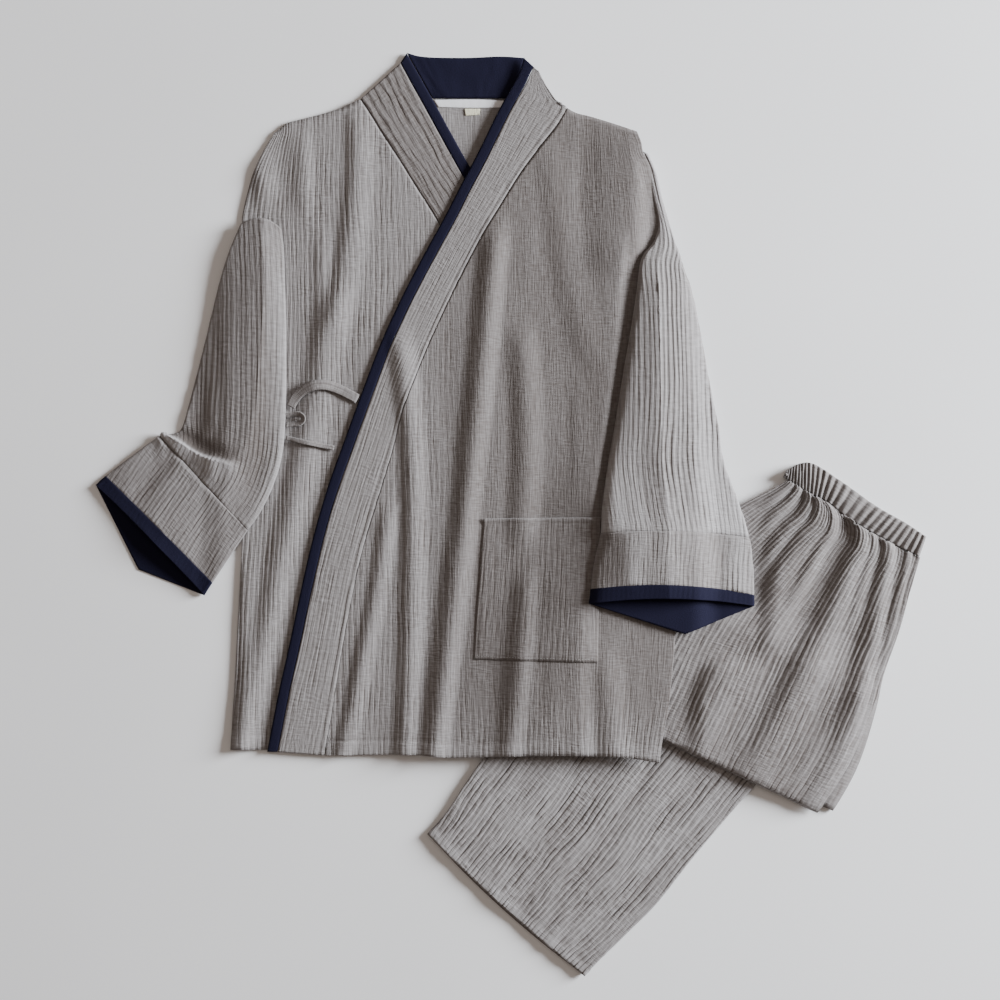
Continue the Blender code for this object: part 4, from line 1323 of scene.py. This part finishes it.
def arm_panel(side, start, end, seed, strength, fold, length, tucked, tone):
    place = ARMS[side]
    left, right = edges(ARM_LEFT if side == "left" else ARM_RIGHT)
    from_edge = 1.0 if side == "left" else 0.0

    def grain(around, share):
        """Millimetres across from the sleeve's straighter edge, so that its cords run straight."""
        (ax, ay), (bx, by) = left.at(share), right.at(share)
        half = np.hypot(bx - ax, by - ay) / 2
        across = (from_edge + np.cos(2 * np.pi * around)) * half
        return np.where(around <= 0.5, across, ARM_ROUND - across), share * length

    def relief(around, share):
        u, v = grain(around, share)
        closing = np.minimum(around, 1 - around) * 220
        x, y, _ = place(around, share)
        upper = np.clip(np.sin(2 * np.pi * around) * 6, 0, 1)
        from_end = (end - share) * length
        ends = smooth((share - start) * length / 5) * smooth(from_end / 5)
        ridges = CRINKLE * strength * crinkles(u, v, seed, ARM_PITCH)
        if side == "right":
            ridges = ridges * (0.55 + 0.85 * smooth((0.25 - np.cos(2 * np.pi * around)) / 0.3))
        soft = fold * (0.5 * swells(u, v, seed + 30) + noise(u / 24, v / 240, seed + 33)) * upper
        bend = elbow(x, y) * upper if side == "left" else 0
        under = -0.9 * smooth(1 - (from_end - 1) / 2) * tucked
        return (ridges + soft) * smooth(closing / 5) * (0.2 + 0.8 * ends) + bend * ends + under

    def depth(x, y):
        """The painted shade in the right sleeve's valleys is stronger on the half that faces the light."""
        lit = smooth((x - ARM_RIGHT_EDGE.x_at(y) - 45) / 14) if side == "right" else 0.9 + 0 * x
        return strength * (0.4 + 0.5 * lit)

    return Panel(place, grain, relief, around=True, seed=seed, pitch=ARM_PITCH, depth=depth, tone=tone)


# %%
# Sleeves, cuffs and bindings
OVERLAP = 1.6  # how far a sleeve or cuff reaches under the next piece

for side, rows, length, body, sleeve_flat in (
    ("left", ARM_LEFT, 470.0, "front_under_cloth", (0.22, 0.29)),
    ("right", ARM_RIGHT, 510.0, "front_over_cloth", (0.24, 0.32)),
):
    last = len(rows) - 1
    cuff, binding = (row / last for row in ARM_PARTS[side])
    tuck = OVERLAP / length
    sleeve_strength, sleeve_fold = (0.5, 2.2) if side == "left" else (0.75, 1.3)
    for name, slot, start, end, step, finish, strength, fold, flat, seed in (
        ("sleeve_", "grey_gauze", 0, cuff + tuck, 3.6, GAUZE, sleeve_strength, sleeve_fold, sleeve_flat, 81),
        ("cuff_", "grey_gauze", cuff, binding + tuck, 2.5, GAUZE, 0.5, 1.8, (0.36, 0.064), 85),
        ("cuff_binding_", "navy_binding", binding, 1, 2.0, BINDING, 0.25, 0.4, (0.37, 0.022), 89),
    ):
        tucked = name != "cuff_binding_"
        # The right sleeve is painted lighter, as painted light on the sleeve that faces the key light.
        tone = 0.95 if name + side == "sleeve_right" else 0.47
        seed = seed + (side == "right")
        panel = arm_panel(side, start, end, seed, strength, fold, length, tucked, tone)
        shares = by(start, end, step / length)
        lies_on = [body, "floor" if side == "left" else "trouser_upper_cloth"]
        cloth(name + side, panel, round_tube(130, 30), shares, finish, WALL, flat)

# %% [markdown]
# ## Ties
#
# The side tie shows two free ends and one loop of its bow. The rest is hidden under the sleeve. Each
# is a narrow strip along its own middle line, and the loop stands on edge and leans out.

# %%
# Tie lines
# Side tie: its middle line and how high its underside stands over the cloth
TieRow = namedtuple("TieRow", "x y rise")
TIE_UPPER = [TieRow(-243, 118, 1.5), TieRow(-238, 127, 2.2), TieRow(-230, 135, 3.2),
             TieRow(-218, 141, 3.5), TieRow(-205, 142, 3.0), TieRow(-190, 137.5, 1.6),
             TieRow(-169, 126.5, 0.4)]
TIE_LOWER = [TieRow(-247.8, 84, 2.0), TieRow(-232, 80, 1.2), TieRow(-213, 76, 0.6),
             TieRow(-195, 72.5, 0.5)]
TIE_LOOP = [TieRow(-247.6, 105.5, 0.6), TieRow(-240, 107, 0.6), TieRow(-234, 107.5, 0.6),
            TieRow(-231, 104.8, 0.6), TieRow(-234, 102, 0.6), TieRow(-240, 101.5, 0.6),
            TieRow(-247.6, 101, 0.6)]

# %%
# Tie surfaces
LOOP_LIFT = 2.0  # underside of its loop, above the under front's underside
LOOP_HIGH = 4.5
LOOP_LEAN = 5.5


def tie_strip(rows, half_width, surface):
    middle = Line([(row.x, row.y, row.rise) for row in rows])

    def place(across, share):
        x, y, rise = middle.at(share)
        ahead = middle.at(np.clip(share + 0.01, 0, 1))
        behind = middle.at(np.clip(share - 0.01, 0, 1))
        dx, dy = ahead[0] - behind[0], ahead[1] - behind[1]
        run = np.hypot(dx, dy)
        side = (2 * across - 1) * half_width
        px, py = x + dy / run * side, y - dx / run * side
        return px, py, surface(px, py) + rise

    return place


def tie_loop_place():
    """The bow's loop: the tie stands on edge and leans out."""
    middle = Line([(row.x, row.y, row.rise) for row in TIE_LOOP])

    def place(across, share):
        x, y, rise = middle.at(share)
        ahead = middle.at(np.clip(share + 0.01, 0, 1))
        behind = middle.at(np.clip(share - 0.01, 0, 1))
        dx, dy = ahead[0] - behind[0], ahead[1] - behind[1]
        run = np.hypot(dx, dy)
        px, py = x - dy / run * LOOP_LEAN * (1 - across), y + dx / run * LOOP_LEAN * (1 - across)
        return px, py, under_surface(x, y) + LOOP_LIFT + rise + LOOP_HIGH * (1 - across)

    return place


# %%
# Ties
TIE_WIDTH = 11.0
TIE_WALL = 1.1
TIE_LIFT = 2.3  # underside of the tie, above the under front's underside


def on_under(x, y):
    return under_surface(x, y) + TIE_LIFT


def tie_relief(across, share):
    return -0.5 * (2 * across - 1) ** 4 + 0.25 * noise(share * 18, across * 2, 95)


upper_tie = Panel(tie_strip(TIE_UPPER, TIE_WIDTH / 2, on_under), flat_grain(11, 90), tie_relief, lift=CLOTH)
cloth(
    "tie_end_upper", upper_tie, by(0, 1, 1 / 8), by(0, 1, 1 / 50), GAUZE, TIE_WALL,
    (0.011, 0.088),
)
lower_tie = Panel(
    tie_strip(TIE_LOWER, TIE_WIDTH / 4, on_under), flat_grain(11, 55), tie_relief, lift=2 * CLOTH,
)
cloth(
    "tie_end_lower", lower_tie, by(0, 1, 1 / 6), by(0, 1, 1 / 30), GAUZE, 2 * TIE_WALL,
    (0.011, 0.055), 0.00031,
)
loop_tie = Panel(tie_loop_place(), flat_grain(11, 50), tie_relief, lift=CLOTH)
cloth(
    "tie_loop", loop_tie, by(0, 1, 1 / 6), by(0, 1, 1 / 60), GAUZE, TIE_WALL,
    (0.011, 0.06), 0.00040,
)

# %% [markdown]
# ## Upper trousers
#
# The seat and upper leg lie on top of the folded layers, gathered into the elastic waistband. Each
# gather is a row of a table, like the long folds of the fronts: a crest that starts at the waist,
# opens and dies out. The cloth turns down over the fold at its lower end.

# %%
# Gathers
# Gathers: where each crest is across the trousers at the waist, halfway and near the fold, how
# far down it reaches, how far it spreads to each side and its height
Gather = namedtuple("Gather", "waist mid low reach left right height")
GATHERS = [
    Gather(0.05, 0.11, 0.12, 0.50, 0.050, 0.05, 3.0),
    Gather(0.13, 0.23, 0.26, 0.50, 0.050, 0.05, 4.0),
    Gather(0.25, 0.33, 0.34, 0.70, 0.060, 0.05, 5.0),
    Gather(0.34, 0.42, 0.40, 1.35, 0.090, 0.20, 8.5),
    Gather(0.44, 0.54, 0.57, 0.55, 0.045, 0.05, 4.0),
    Gather(0.62, 0.71, 0.68, 1.25, 0.090, 0.12, 8.0),
    Gather(0.71, 0.81, 0.82, 0.55, 0.040, 0.05, 3.5),
    Gather(0.80, 0.91, 0.96, 1.30, 0.080, 0.06, 6.0),
    Gather(0.93, 0.97, 0.98, 0.60, 0.030, 0.03, 2.5),
]
GATHERS_RIGHT_OF_CUFF = 268.0  # nearer than this the cuff presses them flat
GATHERS_RIGHT_OF_BODY = 188.0  # and the jacket below the cuff
GATHERS_BELOW_CUFF = -150.0
GATHER_RAMP = 26.0


def gather_height(u, v, x, y):
    swell = 0
    for gather in GATHERS:
        crest = Line([(0, gather.waist), (0.45, gather.mid), (0.9, gather.low), (1.0, gather.low)])
        off = u - crest.y_at(v)
        off = np.clip(np.abs(off) / np.where(off < 0, gather.left, gather.right), 0, 1)
        fade = smooth((gather.reach - v) / (0.6 * gather.reach))
        swell = swell + gather.height * np.cos(np.pi / 2 * off) ** 2 * fade
    beside_cuff = smooth((x - GATHERS_RIGHT_OF_CUFF) / GATHER_RAMP)
    beside_body = smooth((x - GATHERS_RIGHT_OF_BODY) / GATHER_RAMP)
    low = smooth((GATHERS_BELOW_CUFF - y) / GATHER_RAMP)
    return swell * (beside_cuff + (beside_body - beside_cuff) * low)


print(len(GATHERS), "gathers")

# %%
# Waistband's edges
WAISTBAND = [
    NeckRow(302.5, 46, 299, 41),
    NeckRow(315, 54, 314, 32),
    NeckRow(332, 55.5, 330, 22),
    NeckRow(362, 37, 350, 11),
    NeckRow(401.5, 9, 383, -13),
    NeckRow(433, -9, 416, -31),
    NeckRow(458.5, -26, 450.5, -48),
]

# %%
# Surface of the upper trousers
LAYERS_DEEP = 6.0  # folded layers under the upper trousers
LEG_BASE = 6.8  # underside of those layers where they cross the leg
LEG_CLEAR = 75.0  # how far outside the leg they start to rise onto it
LEG_RAMP = 60.0


def layers_base(x, y):
    """Underside of the folded layers, lifted where they cross the lower leg."""
    return LEG_BASE * smooth((inside_leg(x, y) + LEG_CLEAR) / LEG_RAMP)


UPPER_LENGTH = 350.0  # the upper trousers from waistband to fold
UPPER_GAP = 1.1  # above the folded layers
FOLD_TURN = 8.0  # the last stretch, which turns down over the fold
FOLD_DROP = 3.0
BAND_BLEND = 0.12  # share of the length that follows the waistband's lower line
BAND_START = 0.06  # share of the waistband left of the rise
BAND_GAP = (0.4, 0.6)  # clear of the waistband, in x and y


def trouser_upper_place():
    left, right = edges(TROUSER_UPPER)
    band = edges(WAISTBAND)[1]

    def place(u, v):
        ax, ay = left.at(v)
        bx, by = right.at(v)
        band_x, band_y = band.at(BAND_START + (1 - BAND_START) * u)
        near = 1 - smooth(v / BAND_BLEND)
        x = ax + (bx - ax) * u
        y = ay + (by - ay) * u
        x = x + (band_x - BAND_GAP[0] - x) * near
        y = y + (band_y - BAND_GAP[1] - y) * near
        to_fold = np.clip((1 - v) * UPPER_LENGTH / FOLD_TURN, 0, 1)
        round_over = 1 - np.sqrt(1 - (1 - to_fold) ** 2)
        z = layers_base(x, y) + LAYERS_DEEP + UPPER_GAP + gather_height(u, v, x, y)
        return x, y, z - round_over * FOLD_DROP

    return place


# %%
# Upper trousers
TROUSER_PITCH = 5.4
UPPER_WIDTH = 260.0  # across the upper trousers


def trouser_relief(u, v):
    across, along = u * UPPER_WIDTH, v * UPPER_LENGTH
    ridges = CRINKLE * 1.2 * crinkles(across, along, 101, TROUSER_PITCH)
    cross = 0.2 * noise(across / 9, along / 2.6, 104)
    fold = 0.25 + 0.75 * smooth((0.97 - v) / 0.1)
    return (ridges * fold + cross + 0.7 * swells(across, along, 106)) * smooth(v / 0.03)


# The upper trousers are painted darker than the lower leg, as painted shade.
upper = Panel(
    trouser_upper_place(), flat_grain(UPPER_WIDTH, UPPER_LENGTH), trouser_relief,
    lift=CLOTH, seed=101, pitch=TROUSER_PITCH, depth=0.75, tone=0.34,
)
cloth(
    "trouser_upper", upper, by(0, 1, 1 / 230),
    np.concatenate([by(0, 0.975, 0.0125), [0.981, 0.986, 0.990, 0.994, 0.997, 1]]), GAUZE, WALL,
    (0.27, 0.35),
)

# %% [markdown]
# ## Folded layers
#
# What lies folded inside can't be seen, apart from its side edges. One slab stands for it, and three
# rounded edges at each side show its layers.

# %%
# Surface of the layers
LAYERS = 3
LAYER_GROOVE = 1.2
LAYERS_TUCK = 4.0  # how far the layers stand back beside the rise
LAYERS_START = 0.035  # where they start and end down the trousers
LAYERS_END = 0.98
LAYERS_SQUASH = 0.45
FOLD_OUTSET = 14.0  # the layers reach past the top one beside the fold


def trouser_layers_place():
    """The folded layers: a slab whose side edges show each layer's own rounded edge."""
    left, right = edges(TROUSER_UPPER)
    corners = [0, 0.25, 0.5, 0.75, 1]

    def place(around, v):
        along = LAYERS_START + v * (LAYERS_END - LAYERS_START)
        ax, ay = left.at(along)
        bx, by = right.at(along)
        c = np.interp(around, corners, [-1, -1, 1, 1, -1])
        level = np.interp(around, corners, [0, 1, 1, 0, 0])
        squash = 1 - LAYERS_SQUASH * smooth((v - 0.975) / 0.025)
        groove = LAYER_GROOVE * np.abs(np.cos(np.pi * LAYERS * level)) * (np.abs(c) > 0.999)
        width = np.hypot(bx - ax, by - ay)
        outset = np.where(c > 0, FOLD_OUTSET * smooth((along - 0.45) / 0.55), -LAYERS_TUCK)
        half = width / 2 + outset - groove
        x = (ax + bx) / 2 + c * (bx - ax) / width * half
        y = (ay + by) / 2 + c * (by - ay) / width * half
        return x, y, layers_base(x, y) + LAYERS_DEEP * (0.5 + (level - 0.5) * squash)

    return place


# %%
# Folded layers
def layer_relief(around, v):
    return 0 * around


around = np.concatenate([spread(0, 0.25, 8 * LAYERS), spread(0.25, 0.5, 30)[1:]])
around = np.concatenate([around, around[1:] + 0.5])
layers = Panel(trouser_layers_place(), flat_grain(520, 350), layer_relief, around=True)
cloth(
    "trouser_layers", layers, around, by(0, 1, 1 / 60), GAUZE, WALL,
    (0.53, 0.35),
)

# %% [markdown]
# ## Lower leg
#
# Below the fold one leg comes out, pressed flat, with the other leg under it. Both are flattened
# tubes with an open, turned hem.

# %%
# A leg pressed flat
LEG_TOP = 6.4  # top of the lower leg, two flat tubes high
LEG_SPLIT = (2.7, 3.0)  # top of the leg beneath and underside of the leg above
HEM_BOW = 4.0  # how far the hem's middle bows out
HEM_BOW_UNDER = 6.0
LEG_TUCK = 2.0  # how far the leg beneath stands back at each side


def flat_tube_place(rows, low, high, bow, tuck):
    """A leg pressed flat, its section a rounded slab, with the hem's middle bowed out."""
    left, right = edges(rows)

    def place(around, share):
        ax, ay = left.at(share)
        bx, by = right.at(share)
        half = np.hypot(bx - ax, by - ay) / 2
        c = -np.cos(2 * np.pi * around)
        lift = np.sin(2 * np.pi * around)
        slide = bow * (1 - c * c) * smooth((0.25 - share) / 0.25)
        run_x, run_y = (bx - ax) / (2 * half), (by - ay) / (2 * half)
        x = (ax + bx) / 2 + c * run_x * (half - tuck) + run_y * slide
        y = (ay + by) / 2 + c * run_y * (half - tuck) - run_x * slide
        edge = (high - low) / 2
        round_from = 1 - edge / half
        rounding = np.sqrt(1 - np.clip((np.abs(c) - round_from) / (1 - round_from), 0, 1) ** 2)
        side = np.where(lift >= -1e-9, 1, -1)
        return x, y, (low + high) / 2 + side * rounding * edge

    return place


# %%
# Lower legs
LEG_ROUND = 470.0  # all round a leg
LEG_SHOWN = 410.0  # from the hem up to where the leg is hidden


def leg_grain(around, share):
    """Millimetres from the leg's side edge, over the top and back beneath."""
    across = LEG_ROUND / 4 * (1 - np.cos(2 * np.pi * around))
    return np.where(around <= 0.5, across, LEG_ROUND - across), share * LEG_SHOWN


def leg_relief(around, share):
    u, v = leg_grain(around, share)
    closing = np.minimum(around, 1 - around) * LEG_ROUND
    other = np.abs(around - 0.5) * LEG_ROUND
    calm = smooth(closing / 5) * smooth(other / 5)
    seam = -0.6 * np.exp(-((other - 11) / 1.2) ** 2) * (around < 0.5)
    above_hem = (0.3 + 0.7 * smooth((v - HEM) / 12)) * smooth(v / 5)
    ridges = CRINKLE * 1.05 * crinkles(u, v, 111, TROUSER_PITCH) * above_hem
    cross = 0.25 * noise(u / 9, v / 2.6, 114)
    return (ridges + cross + 1.2 * swells(u, v, 116)) * calm + seam + hem_relief(v)


leg = flat_tube_place(LEG_LOWER, LEG_SPLIT[1], LEG_TOP, HEM_BOW, 0.0)
# The lower leg is painted lighter than the upper trousers, as painted light.
lower_leg = Panel(
    leg, leg_grain, leg_relief, around=True, seed=111, pitch=TROUSER_PITCH, depth=1.45, tone=0.85,
)
cloth(
    "leg_lower", lower_leg, round_tube(200, 30), by(0, 1, 0.011), GAUZE, WALL,
    (0.47, 0.41),
)
leg = flat_tube_place(LEG_LOWER, 0.0, LEG_SPLIT[0], HEM_BOW_UNDER, LEG_TUCK)
under_leg = Panel(leg, flat_grain(470, 410), layer_relief, around=True)
cloth(
    "leg_under", under_leg, round_tube(40, 20), by(0, 1, 0.03), GAUZE, 0.9,
    (0.47, 0.41),
)

# %% [markdown]
# ## Waistband
#
# The casing is gathered by its elastic into even pleats. They are raised by a cosine round the band,
# with a sharper groove between them, because each pleat needs only a dozen points.

# %%
# Waistband
CASING = 2.3  # waistband wall with its elastic
PLEATS = 27  # gathers in the waistband
PLEAT_RISE = 1.5
BAND_HIGH = 8.4  # waistband, from its underside to where its pleats start
BAND_PUFF = 1.6


def waistband_place():
    """The gathered casing as a flat loop: pleats raised in its outer points."""
    top, low = edges(WAISTBAND)

    def place(around, share):
        c = -np.cos(2 * np.pi * around)
        upper = np.sin(2 * np.pi * around) >= -1e-9
        turn = (1 + c) / 2
        ax, ay = top.at(turn)
        bx, by = low.at(turn)
        inset = SEAM / np.hypot(bx - ax, by - ay)
        x = ax + (bx - ax) * share * (1 - inset)
        y = ay + (by - ay) * share * (1 - inset)
        rounding = np.sqrt(1 - np.clip((np.abs(c) - 0.95) / 0.05, 0, 1) ** 2)
        pleat = PLEAT_RISE * (0.5 - 0.5 * np.cos(2 * np.pi * PLEATS * turn))
        puff = BAND_PUFF * np.sin(np.pi * np.clip(share, 0, 1))
        body = np.where(upper, BAND_HIGH / 2 + puff + pleat, -BAND_HIGH / 2)
        return x, y, BAND_HIGH / 2 + rounding * body

    return place


def waist_relief(around, share):
    turn = (1 - np.cos(2 * np.pi * around)) / 2
    ruche = noise(turn * PLEATS * 2, share * 2, 121)
    groove = -0.9 * (1 - np.abs(np.sin(np.pi * turn * PLEATS))) ** 2
    return 0.45 * ruche + groove


turns = np.linspace(0, 1, 12 * PLEATS + 1)
top_share = np.arccos(1 - 2 * turns) / (2 * np.pi)
low_share = 1 - np.arccos(1 - 2 * np.linspace(0, 1, 60)) / (2 * np.pi)
around = np.concatenate([top_share, low_share[::-1][1:]])
band = Panel(waistband_place(), flat_grain(352, 29), waist_relief, around=True)
cloth(
    "waistband", band, around, by(0, 1, 1 / 14), GAUZE, CASING - 0.3,
    (0.42, 0.029),
)

# %% [markdown]
# ## Stitches
#
# Rows of grey thread run beside the collar seams, round the pocket and along the hems. Each stitch
# is a short rounded bar in the groove that its row presses in. Making a sphere for each one is slow,
# so one is doubled until there are enough, and then each is put in its place.

# %%
# Where stitches lie
STITCH = 2.4  # length of one stitch
EVERY = 3.5  # from one stitch to the next
THREAD = 0.45


def stitch_row(panel, across, along):
    """Middles, directions and normals of even stitches on a panel, through these shares."""
    points = panel.top(across, along)[0]
    run = np.concatenate([[0], np.cumsum(np.linalg.norm(np.diff(points, axis=0), axis=1))])
    spots = np.arange(EVERY / 2000, run[-1], EVERY / 1000)
    middle = np.stack([np.interp(spots, run, column) for column in points.T], -1)
    ahead = np.stack([np.interp(spots + STITCH / 4000, run, column) for column in points.T], -1)
    return list(zip(middle, ahead - middle))


def level_row(panel, distance, across, hem_line):
    """A row at an even distance above a hem: the share that lies there in each column."""
    shares = np.linspace(0.9, 1, 200)
    found = []
    for column in across:
        x, y, _ = panel.place(np.full(200, column), shares)
        found.append(np.interp(-distance, (hem_line(x) - y), shares))
    return stitch_row(panel, across, np.array(found))


# %%
# Rows of stitches
rows = []
long_way = np.linspace(0.01, 0.99, 400)
for name in ("over", "under"):
    rows += stitch_row(BANDS[name], np.full(400, 1 - BAND_STITCH / BAND_WIDTH), long_way)
in_from_side = POCKET_STITCH / POCKET_WIDE
lowest = 1 - POCKET_STITCH / POCKET_DEEP
for side in (in_from_side, 1 - in_from_side):
    rows += stitch_row(pocket, np.full(100, side), np.linspace(0.03, lowest, 100))
rows += stitch_row(pocket, np.linspace(in_from_side, 1 - in_from_side, 100), np.full(100, lowest))
rows += level_row(front_over, HEM, np.linspace(-203, 180, 240), Line(OVER_HEM).y_at)
rows += level_row(front_under, HEM, np.linspace(-307, -236, 60), Line(UNDER_HEM).y_at)
rows += stitch_row(lower_leg, np.linspace(0.02, 0.48, 240), np.full(240, HEM / LEG_SHOWN))

# %%
# Bars
# One rounded bar, doubled until there is one for each stitch. A layer on its points counts the
# bars, and each is then put in its place.
stitch_bm = bmesh.new()
which = stitch_bm.verts.layers.int.new("which")
bmesh.ops.create_uvsphere(stitch_bm, u_segments=6, v_segments=4, radius=0.5)
bars = 1
while bars < len(rows):
    everything = stitch_bm.verts[:] + stitch_bm.edges[:] + stitch_bm.faces[:]
    for part in bmesh.ops.duplicate(stitch_bm, geom=everything)["geom"]:
        if isinstance(part, bmesh.types.BMVert):
            part[which] += bars
    bars *= 2
spare = [vert for vert in stitch_bm.verts if vert[which] >= len(rows)]
bmesh.ops.delete(stitch_bm, geom=spare, context="VERTS")

# %%
# Every bar in its place
middle = np.array([row[0] for row in rows])
along = np.array([row[1] for row in rows])
along /= np.linalg.norm(along, axis=1, keepdims=True)
side = np.cross(along, (0, 0, 1))
side /= np.linalg.norm(side, axis=1, keepdims=True)
turn = np.stack([side, np.cross(along, side), along], axis=1)
bar = np.array([vert.co for vert in stitch_bm.verts]) * (THREAD, THREAD, STITCH) / 1000
number = np.array([vert[which] for vert in stitch_bm.verts])
placed = middle[number] + np.einsum("nk,nkd->nd", bar, turn[number])
for vert, point in zip(stitch_bm.verts, placed):
    vert.co = point

# %%
# Stitches
stitch_mesh = bpy.data.meshes.new("stitches")
stitch_bm.to_mesh(stitch_mesh)
stitch_bm.free()
stitch_mesh.materials.append(THREAD_GREY)
stitch_mesh.shade_smooth()
stitches = bpy.data.objects.new("stitches", stitch_mesh)
bpy.context.scene.collection.objects.link(stitches)
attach(stitches, "root")
print(len(rows), "stitches,", len(stitch_mesh.polygons), "faces")

# %% [markdown]
# ## Table, light and camera
#
# The set lies on a plain pale floor. The key light is low and comes from the right, so that the
# ridges of the gauze show, and it is wide, so that the shade beside the sleeve is soft.

# %%
# Floor
floor_bm = bmesh.new()
bmesh.ops.create_grid(floor_bm, x_segments=1, y_segments=1, size=4)
for vert in floor_bm.verts:
    vert.co.z = -0.0004
floor_mesh = bpy.data.meshes.new("floor")
floor_bm.to_mesh(floor_mesh)
floor_bm.free()
floor = bpy.data.objects.new("floor", floor_mesh)
bpy.context.scene.collection.objects.link(floor)
floor_mesh.materials.append(plain_material("floor", (0.93, 0.93, 0.93), "Object", 3.0))

# %%
# Lights
def area_light(name, azimuth, elevation, distance, size, power, colour):
    light = bpy.data.lights.new(name, "AREA")
    light.shape = "DISK"
    light.size = size
    light.energy = power
    light.color = colour
    lamp = bpy.data.objects.new(name, light)
    bpy.context.scene.collection.objects.link(lamp)
    a, e = math.radians(azimuth), math.radians(elevation)
    lamp.location = distance * Vector((math.cos(a) * math.cos(e), math.sin(a) * math.cos(e), math.sin(e)))
    lamp.rotation_mode = "QUATERNION"
    lamp.rotation_quaternion = (-lamp.location).to_track_quat("-Z", "Y")
    return lamp


area_light("key", 15, 20, 4.0, 1.8, 625, (0.90, 0.945, 1.0))
area_light("fill", 100, 75, 4.0, 3.0, 20, (1.0, 0.90, 0.82))
world = bpy.data.worlds.new("studio")
world.use_nodes = True
world.node_tree.nodes["Background"].inputs["Color"].default_value = (1.0, 0.83, 0.72, 1)
world.node_tree.nodes["Background"].inputs["Strength"].default_value = 0.2
bpy.context.scene.world = world

# %%
# Camera
camera_data = bpy.data.cameras.new("camera")
camera = bpy.data.objects.new("camera", camera_data)
bpy.context.scene.collection.objects.link(camera)
camera_data.sensor_width = 36
camera.location = (-0.0124, 0.0157, 3.11)
camera_data.lens = 36 * 3.1 / 1.1  # shows 1.1 m across from 3.1 m away
camera_data.clip_start = 0.1
bpy.context.scene.camera = camera
